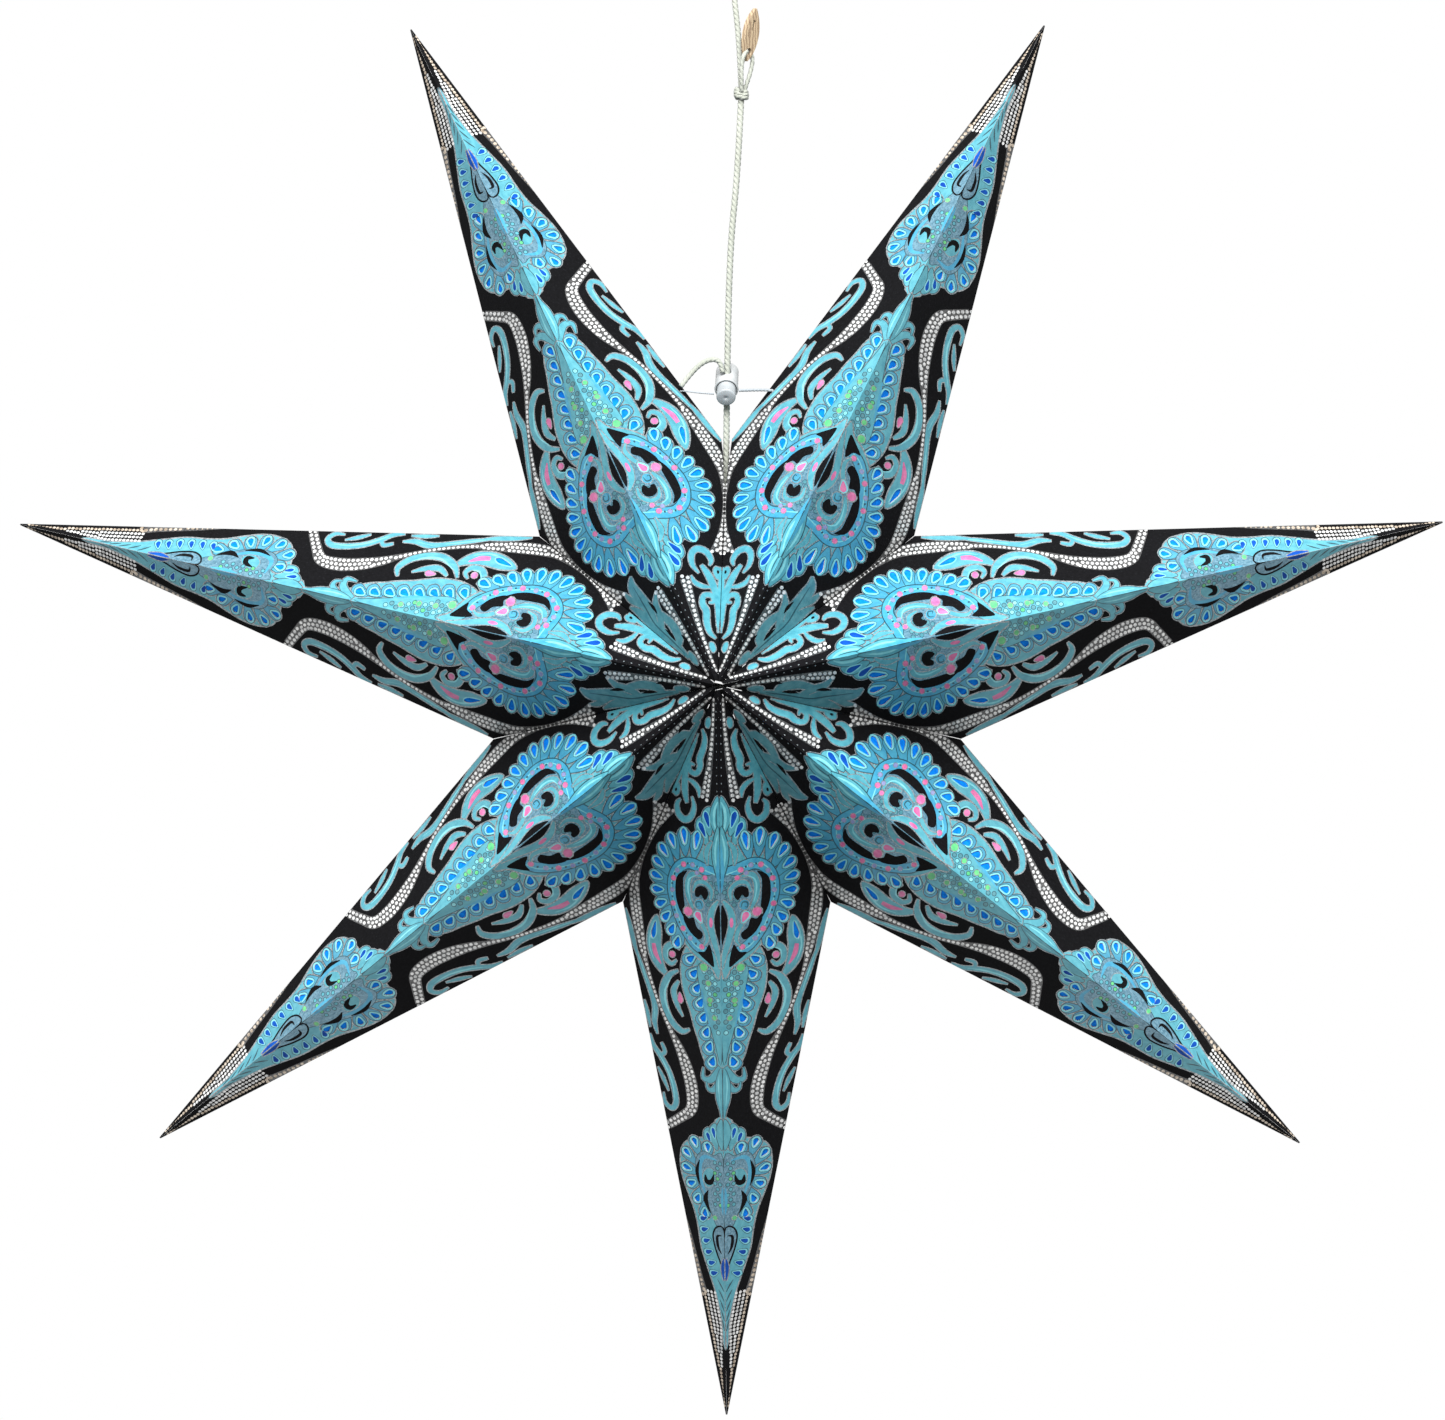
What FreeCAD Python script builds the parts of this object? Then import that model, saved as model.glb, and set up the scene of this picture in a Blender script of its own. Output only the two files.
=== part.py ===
import FreeCAD, Part
import math
import os

# Seven-pointed folding paper star lantern, hung by a cotton cord.
# Frame: +Z up, the star's axis along Y with its front at -Y, +X to the right seen from the front.
# The origin is the top of the hanging loop, where a hook bears; the star's centre is HANG_DROP below.

# ---- Driving dimensions, mm ------------------------------------------------------------------
POINTS = 7
TIP_RADIUS = 300.0          # centre to the tip of a point, in front view
VALLEY_RADIUS = 98.0        # centre to the inner corner between two points
HALF_DEPTH = 100.0          # middle plane to the front (or back) centre of the star
CARD = 0.4                  # thickness of the printed card
TISSUE = 0.08               # thickness of the coloured tissue behind the windows
HANG_DROP = 328.0           # top of the hanging loop to the star's centre

# Creases. The card's inner face holds the ridge and side creases, its outer face the valley creases.
CREASE_GAP = 0.15           # each panel stops this far short of a ridge or side crease
VALLEY_GAP = 0.55           # and this far short of a valley crease, where the outer faces meet
OPEN_RIDGE_GAP = 0.95       # at the back ridges, which are not hinged to each other
CENTRE_CUT = 2.0            # blunt corner at the centre of the star
TIP_CUT = 1.5               # blunt corner at the tip
TISSUE_MARGIN = 6.0         # tissue stops this far short of every edge of its panel
FLAP_WIDTH = 6.0            # glue flap of the next card, on the inner face along a valley
FLAP_INSET = 22.0           # the flap's ends stop this far from the panel's corners
SEAM_CLEARANCE = 0.2        # the open seam parts by the cord's diameter and this, where it goes in
SEAM_PART_LENGTH = 26.0     # and closes again this far down the seam

# Windows die-cut through the card, placed on a pattern of one panel in front view, as (distance
# from the ridge, distance from the centre). The pattern stretches with the panel. A row of drops
# follows a smooth line, each drop pointing to the place it faces.
PATTERN_TIP = 300.0
PATTERN_CORNER = (42.52, 88.30)
WINDOW_LENGTH = 3.6
WINDOW_WIDTH = 2.7
BIG_HEART = {
    "line": [(9.4, 60.9), (14.5, 59.5), (22.0, 63.5), (26.7, 74.0), (25.6, 86.0), (18.3, 102.8)],
    "facing": (13.0, 82.0),
    "count": 11,
}
SMALL_HEART = {
    "line": [(6.5, 186.5), (10.5, 184.5), (15.0, 189.0), (15.6, 197.0), (12.0, 207.0), (8.0, 214.5)],
    "facing": (7.0, 199.0),
    "count": 7,
}
BODY_DROPS = {"line": [(12.6, 109.0), (8.0, 130.0), (3.9, 150.0)], "facing": (0.0, 100.0), "count": 8}
FLAME = {"centre": (28.5, 98.5), "length": 9.0, "width": 2.4, "lean": -12.0}

# Hanging cord and what is on it. Heights here are above the star's centre.
CORD_DIAMETER = 2.8
UPPER_CORD_DIAMETER = 2.5
LOOP_RADIUS = 12.0
KNOT_RADIUS = 3.4
KNOT_HALF_LENGTH = 2.4      # a knot is cut flat where a cord runs out of it
STOPPER_BELOW_VALLEY = 13.0  # cord's lower end, inside the star, below the valley's outer corner
STRING_DIAMETER = 0.6
DOUBLED_STRING_DIAMETER = 1.3
ARCH_STRING_DIAMETER = 2.0
STRING_GAP = 0.35           # a string stops this far short of a moving neighbour
TIE_HOLE_RADIUS = 0.9       # hole for the tie string, beside the side crease
TIE_HOLE_ALONG_CREASE = 30.0
TIE_HOLE_FROM_CREASE = 3.4
TIE_KNOT_RADIUS = 1.1
TIE_END_LIFT = 0.15         # a tie string's end stands this far off the card's outer face

# Spring cord lock.
LOCK_ABOVE_VALLEY = 25.5
LOCK_TILT = 37.0            # its button points forwards and this many degrees down
BARREL_RADIUS = 4.7
BARREL_WALL = 0.65
BARREL_BACK = 10.0          # cord's centre line to the closed end
BARREL_FRONT = 3.0          # cord's centre line to the open end
BARREL_FLOOR = 1.2
BUTTON_CLEARANCE = 0.15
BUTTON_PROTRUDES = 6.2
BUTTON_TRAVEL = 3.0
BUTTON_TAIL = 4.6           # cord's centre line to the button's inner end
CORD_BORE_CLEARANCE = 0.55
SPRING_WIRE = 0.5
SPRING_TURNS = 4
SPRING_END_GAP = 0.05

# Wooden adjuster tied to the cord.
LEAF_LENGTH = 22.0
LEAF_WIDTH = 8.0
LEAF_THICKNESS = 2.0
LEAF_CENTRE = (9.9, -4.0, 266.5)
LEAF_LEAN = 10.0
LEAF_TURN = 50.0
LEAF_HOLE_RADIUS = 1.5
LEAF_HOLE_BELOW_CENTRE = 7.0
LEAF_SLOT = (1.4, 4.2)
LEAF_SLOT_ABOVE_CENTRE = 1.8
LEAF_TIE_DIAMETER = 2.0
LEAF_TIE_GAP = 0.9          # the strands turn into the hole here, short of the wood

ALPHA = math.pi / POINTS
CENTRE = FreeCAD.Vector(0, 0, -HANG_DROP)
FRONT = FreeCAD.Vector(0, -1, 0)
UP = FreeCAD.Vector(0, 0, 1)


def spot(x, y, height):
    """A place given by its height above the star's centre."""
    return CENTRE + FreeCAD.Vector(x, y, height)


def around(radius, angle):
    """A point in the middle plane, at an angle anticlockwise from straight up."""
    return CENTRE + FreeCAD.Vector(-radius * math.sin(angle), 0, radius * math.cos(angle))


def write(name, shapes):
    """Write one node. Several solids of one node go out as a compound."""
    shape = shapes[0] if len(shapes) == 1 else Part.makeCompound(shapes)
    shape.exportStep(os.path.join("parts", name + ".step"))


# ---- Panels ----------------------------------------------------------------------------------
class Panel:
    """One triangle of a folded card: the star's centre (front or back), a tip and an inner corner."""

    def __init__(self, side, tip_angle, valley_angle):
        self.apex = CENTRE + FRONT * (HALF_DEPTH * side)
        self.tip = around(TIP_RADIUS, tip_angle)
        self.corner = around(VALLEY_RADIUS, valley_angle)
        self.along = self.tip - self.apex
        self.along.normalize()
        to_corner = self.corner - self.apex
        self.across = to_corner - self.along * to_corner.dot(self.along)
        self.across.normalize()
        normal = self.along.cross(self.across)
        self.outward = normal if normal.dot(self.apex - CENTRE) > 0 else -normal
        self.length = (self.tip - self.apex).Length
        self.corner_uv = (to_corner.dot(self.along), to_corner.dot(self.across))

    def at(self, uv, lift=0.0):
        """The place at (along the ridge, across it) on the inner face, lifted outwards."""
        return self.apex + self.along * uv[0] + self.across * uv[1] + self.outward * lift

    def from_pattern(self, across, along):
        """(u, v) on the panel of a place on the pattern."""
        corner_share = across / PATTERN_CORNER[0]
        tip_share = (along - corner_share * PATTERN_CORNER[1]) / PATTERN_TIP
        u = self.length * tip_share + self.corner_uv[0] * corner_share
        return (u, self.corner_uv[1] * corner_share)

    def outline(self, ridge_gap, valley_gap, side_gap, centre_cut, tip_cut):
        """Corners of the triangle drawn in by a gap along each edge, with blunt centre and tip."""
        centre, tip, corner = (0.0, 0.0), (self.length, 0.0), self.corner_uv
        edges = [(centre, tip, ridge_gap), (tip, corner, side_gap), (corner, centre, valley_gap)]
        lines = [drawn_in(*edge) for edge in edges]
        inner_tip = crossing(lines[0], lines[1])
        inner_corner = crossing(lines[1], lines[2])
        inner_centre = crossing(lines[2], lines[0])
        return [
            step(inner_centre, inner_tip, centre_cut),
            step(inner_tip, inner_centre, tip_cut),
            step(inner_tip, inner_corner, tip_cut),
            inner_corner,
            step(inner_centre, inner_corner, centre_cut),
        ]


def drawn_in(start, end, gap):
    """The line through two points, moved left of its direction by a gap: (point, direction)."""
    length = math.dist(start, end)
    direction = ((end[0] - start[0]) / length, (end[1] - start[1]) / length)
    return ((start[0] - direction[1] * gap, start[1] + direction[0] * gap), direction)


def crossing(first, second):
    (px, py), (dx, dy) = first
    (qx, qy), (ex, ey) = second
    run = ((qx - px) * ey - (qy - py) * ex) / (dx * ey - dy * ex)
    return (px + dx * run, py + dy * run)


def step(start, towards, distance):
    share = distance / math.dist(start, towards)
    return (start[0] + (towards[0] - start[0]) * share, start[1] + (towards[1] - start[1]) * share)


def plate(panel, corners, bottom, thickness, holes=()):
    """A flat piece on a panel: its outline and holes in (u, v), from one lift to another."""
    outline = Part.makePolygon([panel.at(c, bottom) for c in corners + corners[:1]])
    face = Part.Face([outline] + list(holes))
    return face.extrude(panel.outward * thickness)


def closed_curve(panel, points):
    curve = Part.BSplineCurve()
    curve.interpolate(Points=[panel.at(p) for p in points], PeriodicFlag=True)
    return Part.Wire([curve.toShape()])


def drop(panel, across, along, lean, length, width):
    """A drop-shaped window, pointed end towards its lean, as a closed curve on the inner face."""
    shape = [(0.5, 0.0), (0.12, 0.34), (-0.28, 0.46), (-0.5, 0.0), (-0.28, -0.46), (0.12, -0.34)]
    cos, sin = math.cos(math.radians(lean)), math.sin(math.radians(lean))
    points = []
    for forward, sideways in shape:
        a = across + forward * length * sin + sideways * width * cos
        b = along + forward * length * cos - sideways * width * sin
        points.append(panel.from_pattern(a, b))
    return closed_curve(panel, points)


def drop_row(panel, row, length, width):
    """Drops spread evenly along a smooth line, each pointing to the place that the row faces."""
    line = Part.BSplineCurve()
    line.interpolate([FreeCAD.Vector(x, y, 0) for x, y in row["line"]])
    made = []
    for place in line.discretize(Number=row["count"]):
        lean = math.degrees(math.atan2(row["facing"][0] - place.x, row["facing"][1] - place.y))
        made.append(drop(panel, place.x, place.y, lean, length, width))
    return made


def windows(panel):
    made = drop_row(panel, BIG_HEART, WINDOW_LENGTH, WINDOW_WIDTH)
    made += drop_row(panel, SMALL_HEART, WINDOW_LENGTH * 0.9, WINDOW_WIDTH * 0.9)
    made += drop_row(panel, BODY_DROPS, WINDOW_LENGTH * 0.9, WINDOW_WIDTH * 0.9)
    across, along = FLAME["centre"]
    made.append(drop(panel, across, along, FLAME["lean"], FLAME["length"], FLAME["width"]))
    return made


def tie_hole_uv(panel):
    """Centre of the tie string's hole, beside the side crease near the inner corner."""
    tip, corner = (panel.length, 0.0), panel.corner_uv
    on_crease = step(corner, tip, TIE_HOLE_ALONG_CREASE)
    _, direction = drawn_in(tip, corner, 0.0)
    inwards = (-direction[1], direction[0])
    return (
        on_crease[0] + inwards[0] * TIE_HOLE_FROM_CREASE,
        on_crease[1] + inwards[1] * TIE_HOLE_FROM_CREASE,
    )


def seam_outline(panel, corners):
    """The outline of a panel at the open seam, drawn back near the corner where the cord goes in."""
    corner, centre = corners[3], corners[4]
    parting = (CORD_DIAMETER + SEAM_CLEARANCE) / math.sin(math.radians(60))
    tip_side = step(corner, corners[2], parting)
    pinch = step(corner, centre, SEAM_PART_LENGTH)
    return corners[:3] + [tip_side, pinch, centre]


def card_panel(panel, ridge_gap, at_seam, has_tie_hole, has_flap):
    corners = panel.outline(ridge_gap, VALLEY_GAP, CREASE_GAP, CENTRE_CUT, TIP_CUT)
    if at_seam:
        corners = seam_outline(panel, corners)
    holes = windows(panel)
    if has_tie_hole:
        circle = Part.makeCircle(TIE_HOLE_RADIUS, panel.at(tie_hole_uv(panel)), panel.outward)
        holes.append(Part.Wire([circle]))
    solids = [plate(panel, corners, 0.0, CARD, holes)]
    if has_flap:
        solids.append(glue_flap(panel))
    return solids


def glue_flap(panel):
    """The strip of the next card that is glued to this panel's inner face along the valley."""
    outer = panel.outline(0.0, VALLEY_GAP, 0.0, 0.0, 0.0)
    inner = panel.outline(0.0, VALLEY_GAP + FLAP_WIDTH, 0.0, 0.0, 0.0)
    corners = [
        step(outer[3], outer[4], FLAP_INSET),
        step(outer[4], outer[3], FLAP_INSET),
        step(inner[4], inner[3], FLAP_INSET),
        step(inner[3], inner[4], FLAP_INSET),
    ]
    return plate(panel, corners, -CARD, CARD)


def tissue_sheet(panel):
    """Coloured tissue glued behind the windows, inside the flap and clear of the ridge."""
    margin = TISSUE_MARGIN
    corners = panel.outline(margin, VALLEY_GAP + FLAP_WIDTH + 0.3, margin, margin, margin)
    return plate(panel, corners, -TISSUE, TISSUE)


def make_points():
    """All the points. Panel 'right' is the clockwise side of its point, seen from the front."""
    for i in range(POINTS):
        name = "point_%d" % (POINTS - i)
        tip_angle = ALPHA * (2 * i + 1)
        for hand, valley_angle in (("right", ALPHA * 2 * i), ("left", ALPHA * (2 * i + 2))):
            at_seam = (i == 0 and hand == "right") or (i == POINTS - 1 and hand == "left")
            has_flap = hand == "right" and not at_seam
            front = Panel(1, tip_angle, valley_angle)
            back = Panel(-1, tip_angle, valley_angle)
            front_card = card_panel(front, CREASE_GAP, at_seam, at_seam, has_flap)
            back_card = card_panel(back, OPEN_RIDGE_GAP, at_seam, False, has_flap)
            write("%s_front_%s" % (name, hand), front_card)
            write("%s_front_%s_tissue" % (name, hand), [tissue_sheet(front)])
            write("%s_back_%s" % (name, hand), back_card + [tissue_sheet(back)])


# ---- Cords -----------------------------------------------------------------------------------
def cord_path(points):
    """Straight runs joined by tangent arcs, each arc as large as its two runs allow."""
    edges = []
    start = points[0]
    radii = []
    for before, bend, after in zip(points, points[1:], points[2:]):
        back = before - bend
        ahead = after - bend
        half_turn = (math.pi - back.getAngle(ahead)) / 2
        shorter = min(back.Length, ahead.Length)
        reach = 0.45 * shorter
        radius = reach / math.tan(half_turn)
        radii.append(radius)
        back.normalize()
        ahead.normalize()
        enter = bend + back * reach
        leave = bend + ahead * reach
        middle = back + ahead
        middle.normalize()
        top = bend + middle * (radius / math.cos(half_turn) - radius)
        edges.append(Part.makeLine(start, enter))
        edges.append(Part.Arc(enter, top, leave).toShape())
        start = leave
    edges.append(Part.makeLine(start, points[-1]))
    return Part.Wire(edges), radii


def cord(name, points, diameter):
    """A round cord along a route, checked against its section times its length."""
    path, radii = cord_path(points)
    first = points[1] - points[0]
    section = Part.Wire([Part.makeCircle(diameter / 2, points[0], first)])
    tube = path.makePipeShell([section], True, False)
    expected = math.pi * diameter ** 2 / 4 * path.Length
    smallest = min(radii) if radii else float("inf")
    print("%s: length %.1f, volume/expected %.4f, smallest radius %.1f, diameters %.1f"
          % (name, path.Length, tube.Volume / expected, smallest, smallest / diameter))
    return tube


def knot(centre, inwards, outwards):
    """A tight knot: a ball cut flat, square to the cord, where it runs in and out."""
    ball = Part.makeSphere(KNOT_RADIUS, centre)
    for direction in (-inwards, outwards):
        face = centre + direction * KNOT_HALF_LENGTH
        ball = ball.cut(Part.makeCylinder(2 * KNOT_RADIUS, 2 * KNOT_RADIUS, face, direction))
    return ball


def heading(start, end):
    """Unit direction from one place to another."""
    direction = end - start
    direction.normalize()
    return direction


def make_cord():
    """The hanging cord from the stopper knot inside the star to the loop over the hook."""
    lower = [
        spot(-0.3, 0, VALLEY_RADIUS - STOPPER_BELOW_VALLEY),
        spot(0.2, 0, 133.0),
        spot(1.4, 0, 181.0),
        spot(4.6, 0, 211.0),
        spot(5.9, 0, 240.5),
    ]
    write("hanging_cord_lower", [cord("hanging_cord_lower", lower, CORD_DIAMETER)])
    down = heading(lower[1], lower[0])
    write("stopper_knot", [knot(lower[0] + down * KNOT_HALF_LENGTH, down, down)])

    enter = heading(lower[-2], lower[-1])
    tie_centre = lower[-1] + enter * KNOT_HALF_LENGTH
    leave = heading(tie_centre, spot(5.4, 0, 262.0))
    write("adjuster_knot", [knot(tie_centre, enter, leave)])
    upper = [
        tie_centre + leave * KNOT_HALF_LENGTH,
        spot(5.4, 0, 262.0),
        spot(3.2, 0, 282.0),
        spot(1.6, 0, 296.0),
    ]
    write("hanging_cord_upper", [cord("hanging_cord_upper", upper, UPPER_CORD_DIAMETER)])
    top = heading(upper[-2], upper[-1])
    loop_knot_centre = upper[-1] + top * KNOT_HALF_LENGTH
    loop_knot = knot(loop_knot_centre, top, top)
    write("loop_knot", [loop_knot])
    write("hang_loop", [hanging_loop(loop_knot_centre + top * KNOT_HALF_LENGTH).cut(loop_knot)])


def hanging_loop(foot):
    """The loop over the hook. Both legs come out of the knot's top; its crown holds the origin."""
    radius = UPPER_CORD_DIAMETER / 2
    spread = FreeCAD.Vector(radius + 0.05, 0, 0)
    crown = radius - LOOP_RADIUS
    left = [
        foot - spread,
        FreeCAD.Vector(-LOOP_RADIUS * 0.72, 0, crown - LOOP_RADIUS * 0.50),
        FreeCAD.Vector(-LOOP_RADIUS * 0.93, 0, crown + LOOP_RADIUS * 0.42),
        FreeCAD.Vector(-LOOP_RADIUS * 0.42, 0, crown + LOOP_RADIUS),
    ]
    right = [FreeCAD.Vector(-p.x, 0, p.z) for p in reversed(left[1:])]
    return cord("hang_loop", left + right + [foot + spread], UPPER_CORD_DIAMETER)


# ---- Tie strings at the seam -----------------------------------------------------------------
def rod(start, end, diameter):
    return Part.makeCylinder(diameter / 2, (end - start).Length, start, end - start)


def make_ties():
    """Strings that pull the two end walls of the seam to the cord lock."""
    left_wall = Panel(1, ALPHA, 0.0)
    right_wall = Panel(1, -ALPHA, 0.0)
    left_hole = left_wall.at(tie_hole_uv(left_wall), CARD + TIE_END_LIFT)
    right_hole = right_wall.at(tie_hole_uv(right_wall), CARD + TIE_END_LIFT)
    lock_side = BARREL_RADIUS + STRING_GAP
    string_y = left_hole.y
    left_end = spot(-lock_side, string_y, left_hole.z + HANG_DROP - 0.8)
    right_end = spot(lock_side, string_y, right_hole.z + HANG_DROP - 0.2)
    write("tie_string_left", [rod(left_hole, left_end, STRING_DIAMETER)])
    write("tie_string_right", [rod(right_end, right_hole, DOUBLED_STRING_DIAMETER)])
    for name, wall in (("tie_knot_left", left_wall), ("tie_knot_right", right_wall)):
        inside = wall.at(tie_hole_uv(wall), -TIE_KNOT_RADIUS - STRING_GAP)
        write(name, [Part.makeSphere(TIE_KNOT_RADIUS, inside)])

    arch = [
        spot(-18.6, left_hole.y - 1.6, left_hole.z + HANG_DROP + 1.4),
        spot(-14.2, -4.0, 128.6),
        spot(-8.6, -3.6, 133.4),
        spot(-3.4, -3.0, 133.9),
    ]
    write("lock_loop_string", [cord("lock_loop_string", arch, ARCH_STRING_DIAMETER)])


# ---- Cord lock -------------------------------------------------------------------------------
def make_lock():
    """A barrel with a spring button. The cord passes through both, gripped between their edges."""
    tilt = math.radians(LOCK_TILT)
    axis = FreeCAD.Vector(0, -math.cos(tilt), -math.sin(tilt))
    middle = spot(0, 0, VALLEY_RADIUS + LOCK_ABOVE_VALLEY)
    barrel_length = BARREL_BACK + BARREL_FRONT
    back_end = middle - axis * BARREL_BACK
    inside_radius = BARREL_RADIUS - BARREL_WALL
    bore_radius = CORD_DIAMETER / 2 + CORD_BORE_CLEARANCE
    tall = 4 * BARREL_RADIUS
    bore = Part.makeCylinder(bore_radius, tall, middle - UP * (tall / 2), UP)

    barrel = Part.makeCylinder(BARREL_RADIUS, barrel_length, back_end, axis)
    hollow = Part.makeCylinder(inside_radius, barrel_length, back_end + axis * BARREL_FLOOR, axis)
    write("lock_barrel", [barrel.cut(hollow).cut(bore)])

    button_radius = inside_radius - BUTTON_CLEARANCE
    button_back = middle - axis * BUTTON_TAIL
    button_length = BUTTON_TAIL + BARREL_FRONT + BUTTON_PROTRUDES
    button = Part.makeCylinder(button_radius, button_length, button_back, axis)
    pressed = axis * BUTTON_TRAVEL
    front_bore = bore.translated(pressed)
    link = Part.makeBox(2 * bore_radius, abs(pressed.y), tall,
                        FreeCAD.Vector(middle.x - bore_radius, middle.y + pressed.y, middle.z - tall / 2))
    write("lock_button", [button.cut(bore).cut(front_bore).cut(link)])

    floor = back_end + axis * (BARREL_FLOOR + SPRING_END_GAP + SPRING_WIRE / 2)
    room = BARREL_BACK - BARREL_FLOOR - BUTTON_TAIL - 2 * SPRING_END_GAP - SPRING_WIRE
    coil_radius = inside_radius - BUTTON_CLEARANCE - SPRING_WIRE
    helix = Part.makeHelix(room / SPRING_TURNS, room, coil_radius)
    wire = Part.Wire([Part.makeCircle(SPRING_WIRE / 2, FreeCAD.Vector(coil_radius, 0, 0),
                                      FreeCAD.Vector(0, 1, 0))])
    spring = Part.Wire(helix.Edges).makePipeShell([wire], True, True)
    spring.Placement = FreeCAD.Placement(floor, FreeCAD.Rotation(UP, axis))
    write("lock_spring", [spring])


# ---- Wooden adjuster -------------------------------------------------------------------------
def make_leaf():
    """A thin wooden leaf with a round hole and a slot, tied to the cord by a short doubled tail."""
    half_length, half_width = LEAF_LENGTH / 2, LEAF_WIDTH / 2
    bottom, top = FreeCAD.Vector(0, 0, -half_length), FreeCAD.Vector(0, 0, half_length)
    right, left = FreeCAD.Vector(half_width, 0, 0), FreeCAD.Vector(-half_width, 0, 0)
    edges = [Part.Arc(bottom, right, top).toShape(), Part.Arc(top, left, bottom).toShape()]
    thickness = FreeCAD.Vector(0, LEAF_THICKNESS, 0)
    leaf = Part.Face(Part.Wire(edges)).extrude(thickness).translated(thickness * -0.5)
    hole_centre = FreeCAD.Vector(0, 0, -LEAF_HOLE_BELOW_CENTRE)
    hole = Part.makeCylinder(LEAF_HOLE_RADIUS, 2 * LEAF_THICKNESS, hole_centre - thickness,
                             FreeCAD.Vector(0, 1, 0))
    slot = Part.makeBox(LEAF_SLOT[0], 2 * LEAF_THICKNESS, LEAF_SLOT[1],
                        FreeCAD.Vector(-LEAF_SLOT[0] / 2, -LEAF_THICKNESS, LEAF_SLOT_ABOVE_CENTRE))
    leaf = leaf.cut(hole).cut(slot)
    turn = FreeCAD.Rotation(UP, LEAF_TURN)
    lean = FreeCAD.Rotation(FreeCAD.Vector(0, 1, 0), LEAF_LEAN)
    placement = FreeCAD.Placement(spot(*LEAF_CENTRE), lean * turn)
    leaf.Placement = placement
    write("wooden_adjuster", [leaf])

    reach = LEAF_THICKNESS / 2 + LEAF_TIE_DIAMETER / 2 + LEAF_TIE_GAP
    strands = []
    for side, foot in ((-1, spot(6.6, -3.4, 246.5)), (1, spot(8.4, -1.6, 246.5))):
        at_hole = placement.multVec(hole_centre + FreeCAD.Vector(0, side * reach, 0))
        strands.append(rod(foot, at_hole, LEAF_TIE_DIAMETER))
    write("adjuster_tie", strands)


def main():
    os.makedirs("parts", exist_ok=True)
    make_points()
    make_cord()
    make_ties()
    make_lock()
    make_leaf()


main()
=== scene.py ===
import math

import bpy
import numpy as np
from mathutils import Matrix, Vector
from mathutils.geometry import delaunay_2d_cdt


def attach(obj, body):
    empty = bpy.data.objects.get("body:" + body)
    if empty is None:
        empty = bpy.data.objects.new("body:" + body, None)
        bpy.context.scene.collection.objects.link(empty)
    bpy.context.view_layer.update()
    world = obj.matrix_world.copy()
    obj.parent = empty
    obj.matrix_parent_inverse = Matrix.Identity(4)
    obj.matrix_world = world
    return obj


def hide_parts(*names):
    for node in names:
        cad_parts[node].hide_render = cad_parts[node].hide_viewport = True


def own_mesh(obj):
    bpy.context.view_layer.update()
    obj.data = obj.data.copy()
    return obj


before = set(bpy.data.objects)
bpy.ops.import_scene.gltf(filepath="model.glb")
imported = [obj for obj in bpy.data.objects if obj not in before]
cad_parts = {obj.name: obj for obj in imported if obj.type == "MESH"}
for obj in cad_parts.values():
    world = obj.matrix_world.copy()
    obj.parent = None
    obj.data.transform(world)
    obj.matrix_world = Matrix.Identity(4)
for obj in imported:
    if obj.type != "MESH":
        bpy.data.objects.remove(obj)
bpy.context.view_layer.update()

# Everything is worked out in millimetres, in the frame of the CAD model, and made in metres.
MM = 0.001
ALPHA = math.pi / 7
HANG_DROP = 328.0           # the star's centre is this far below the crown of the hanging loop
CENTRE = Vector((0.0, 0.0, -HANG_DROP))
TIP_RADIUS, VALLEY_RADIUS, HALF_DEPTH = 300.0, 98.0, 100.0
CARD = 0.4                  # thickness of the printed card
CREASE_GAP, VALLEY_GAP, OPEN_RIDGE_GAP = 0.15, 0.55, 0.95
CENTRE_CUT, TIP_CUT = 2.0, 1.5
SEAM_PART, SEAM_PART_LENGTH = 3.0, 26.0
RIDGE_MITRE = 0.60          # the outer face reaches this far past a ridge crease
RIM_NEARNESS = 0.02         # an edge this near to the card's outline belongs to it
BEAD_SHOULDER, BEAD_TOP = 0.015, 0.025      # how far a bead of glitter ink stands up
BEAD_SIDES = 6
# The pattern of one panel: x from the ridge, y from the star's centre, with these two corners.
PATTERN_TIP, PATTERN_CORNER = 300.0, (42.52, 88.30)


def add_object(name, data):
    made = bpy.data.objects.new(name, data)
    bpy.context.scene.collection.objects.link(made)
    return made


def ride_as(piece, body, slot_name, *nodes):
    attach(piece, body)
    if nodes:
        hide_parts(*nodes)


# ---- Camera ---------------------------------------------------------------------------------------
def make_camera():
    distance, width = 1.5, 0.594        # metres, and the width of the view at that distance
    turn = math.radians(2.0)
    aim = Vector((-0.0017, 0.0, -0.338))
    data = bpy.data.cameras.new("camera")
    data.sensor_width = 36.0
    data.lens = data.sensor_width * distance / width
    data.clip_end = 100.0
    camera = add_object("camera", data)
    camera.location = aim + Vector((math.sin(turn), -math.cos(turn), 0.0)) * distance
    camera.location.z = -0.330
    camera.rotation_euler = (aim - camera.location).to_track_quat("-Z", "Y").to_euler()
    bpy.context.scene.camera = camera


make_camera()


# ---- Materials ------------------------------------------------------------------------------------
INK_CLOUD, INK_GRAIN, INK_BUMP = 3.0, 0.5, 0.25     # mm, mm and a share
SHADE = 0.50        # all colours are this share of the ones given, to suit the strong light


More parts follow.
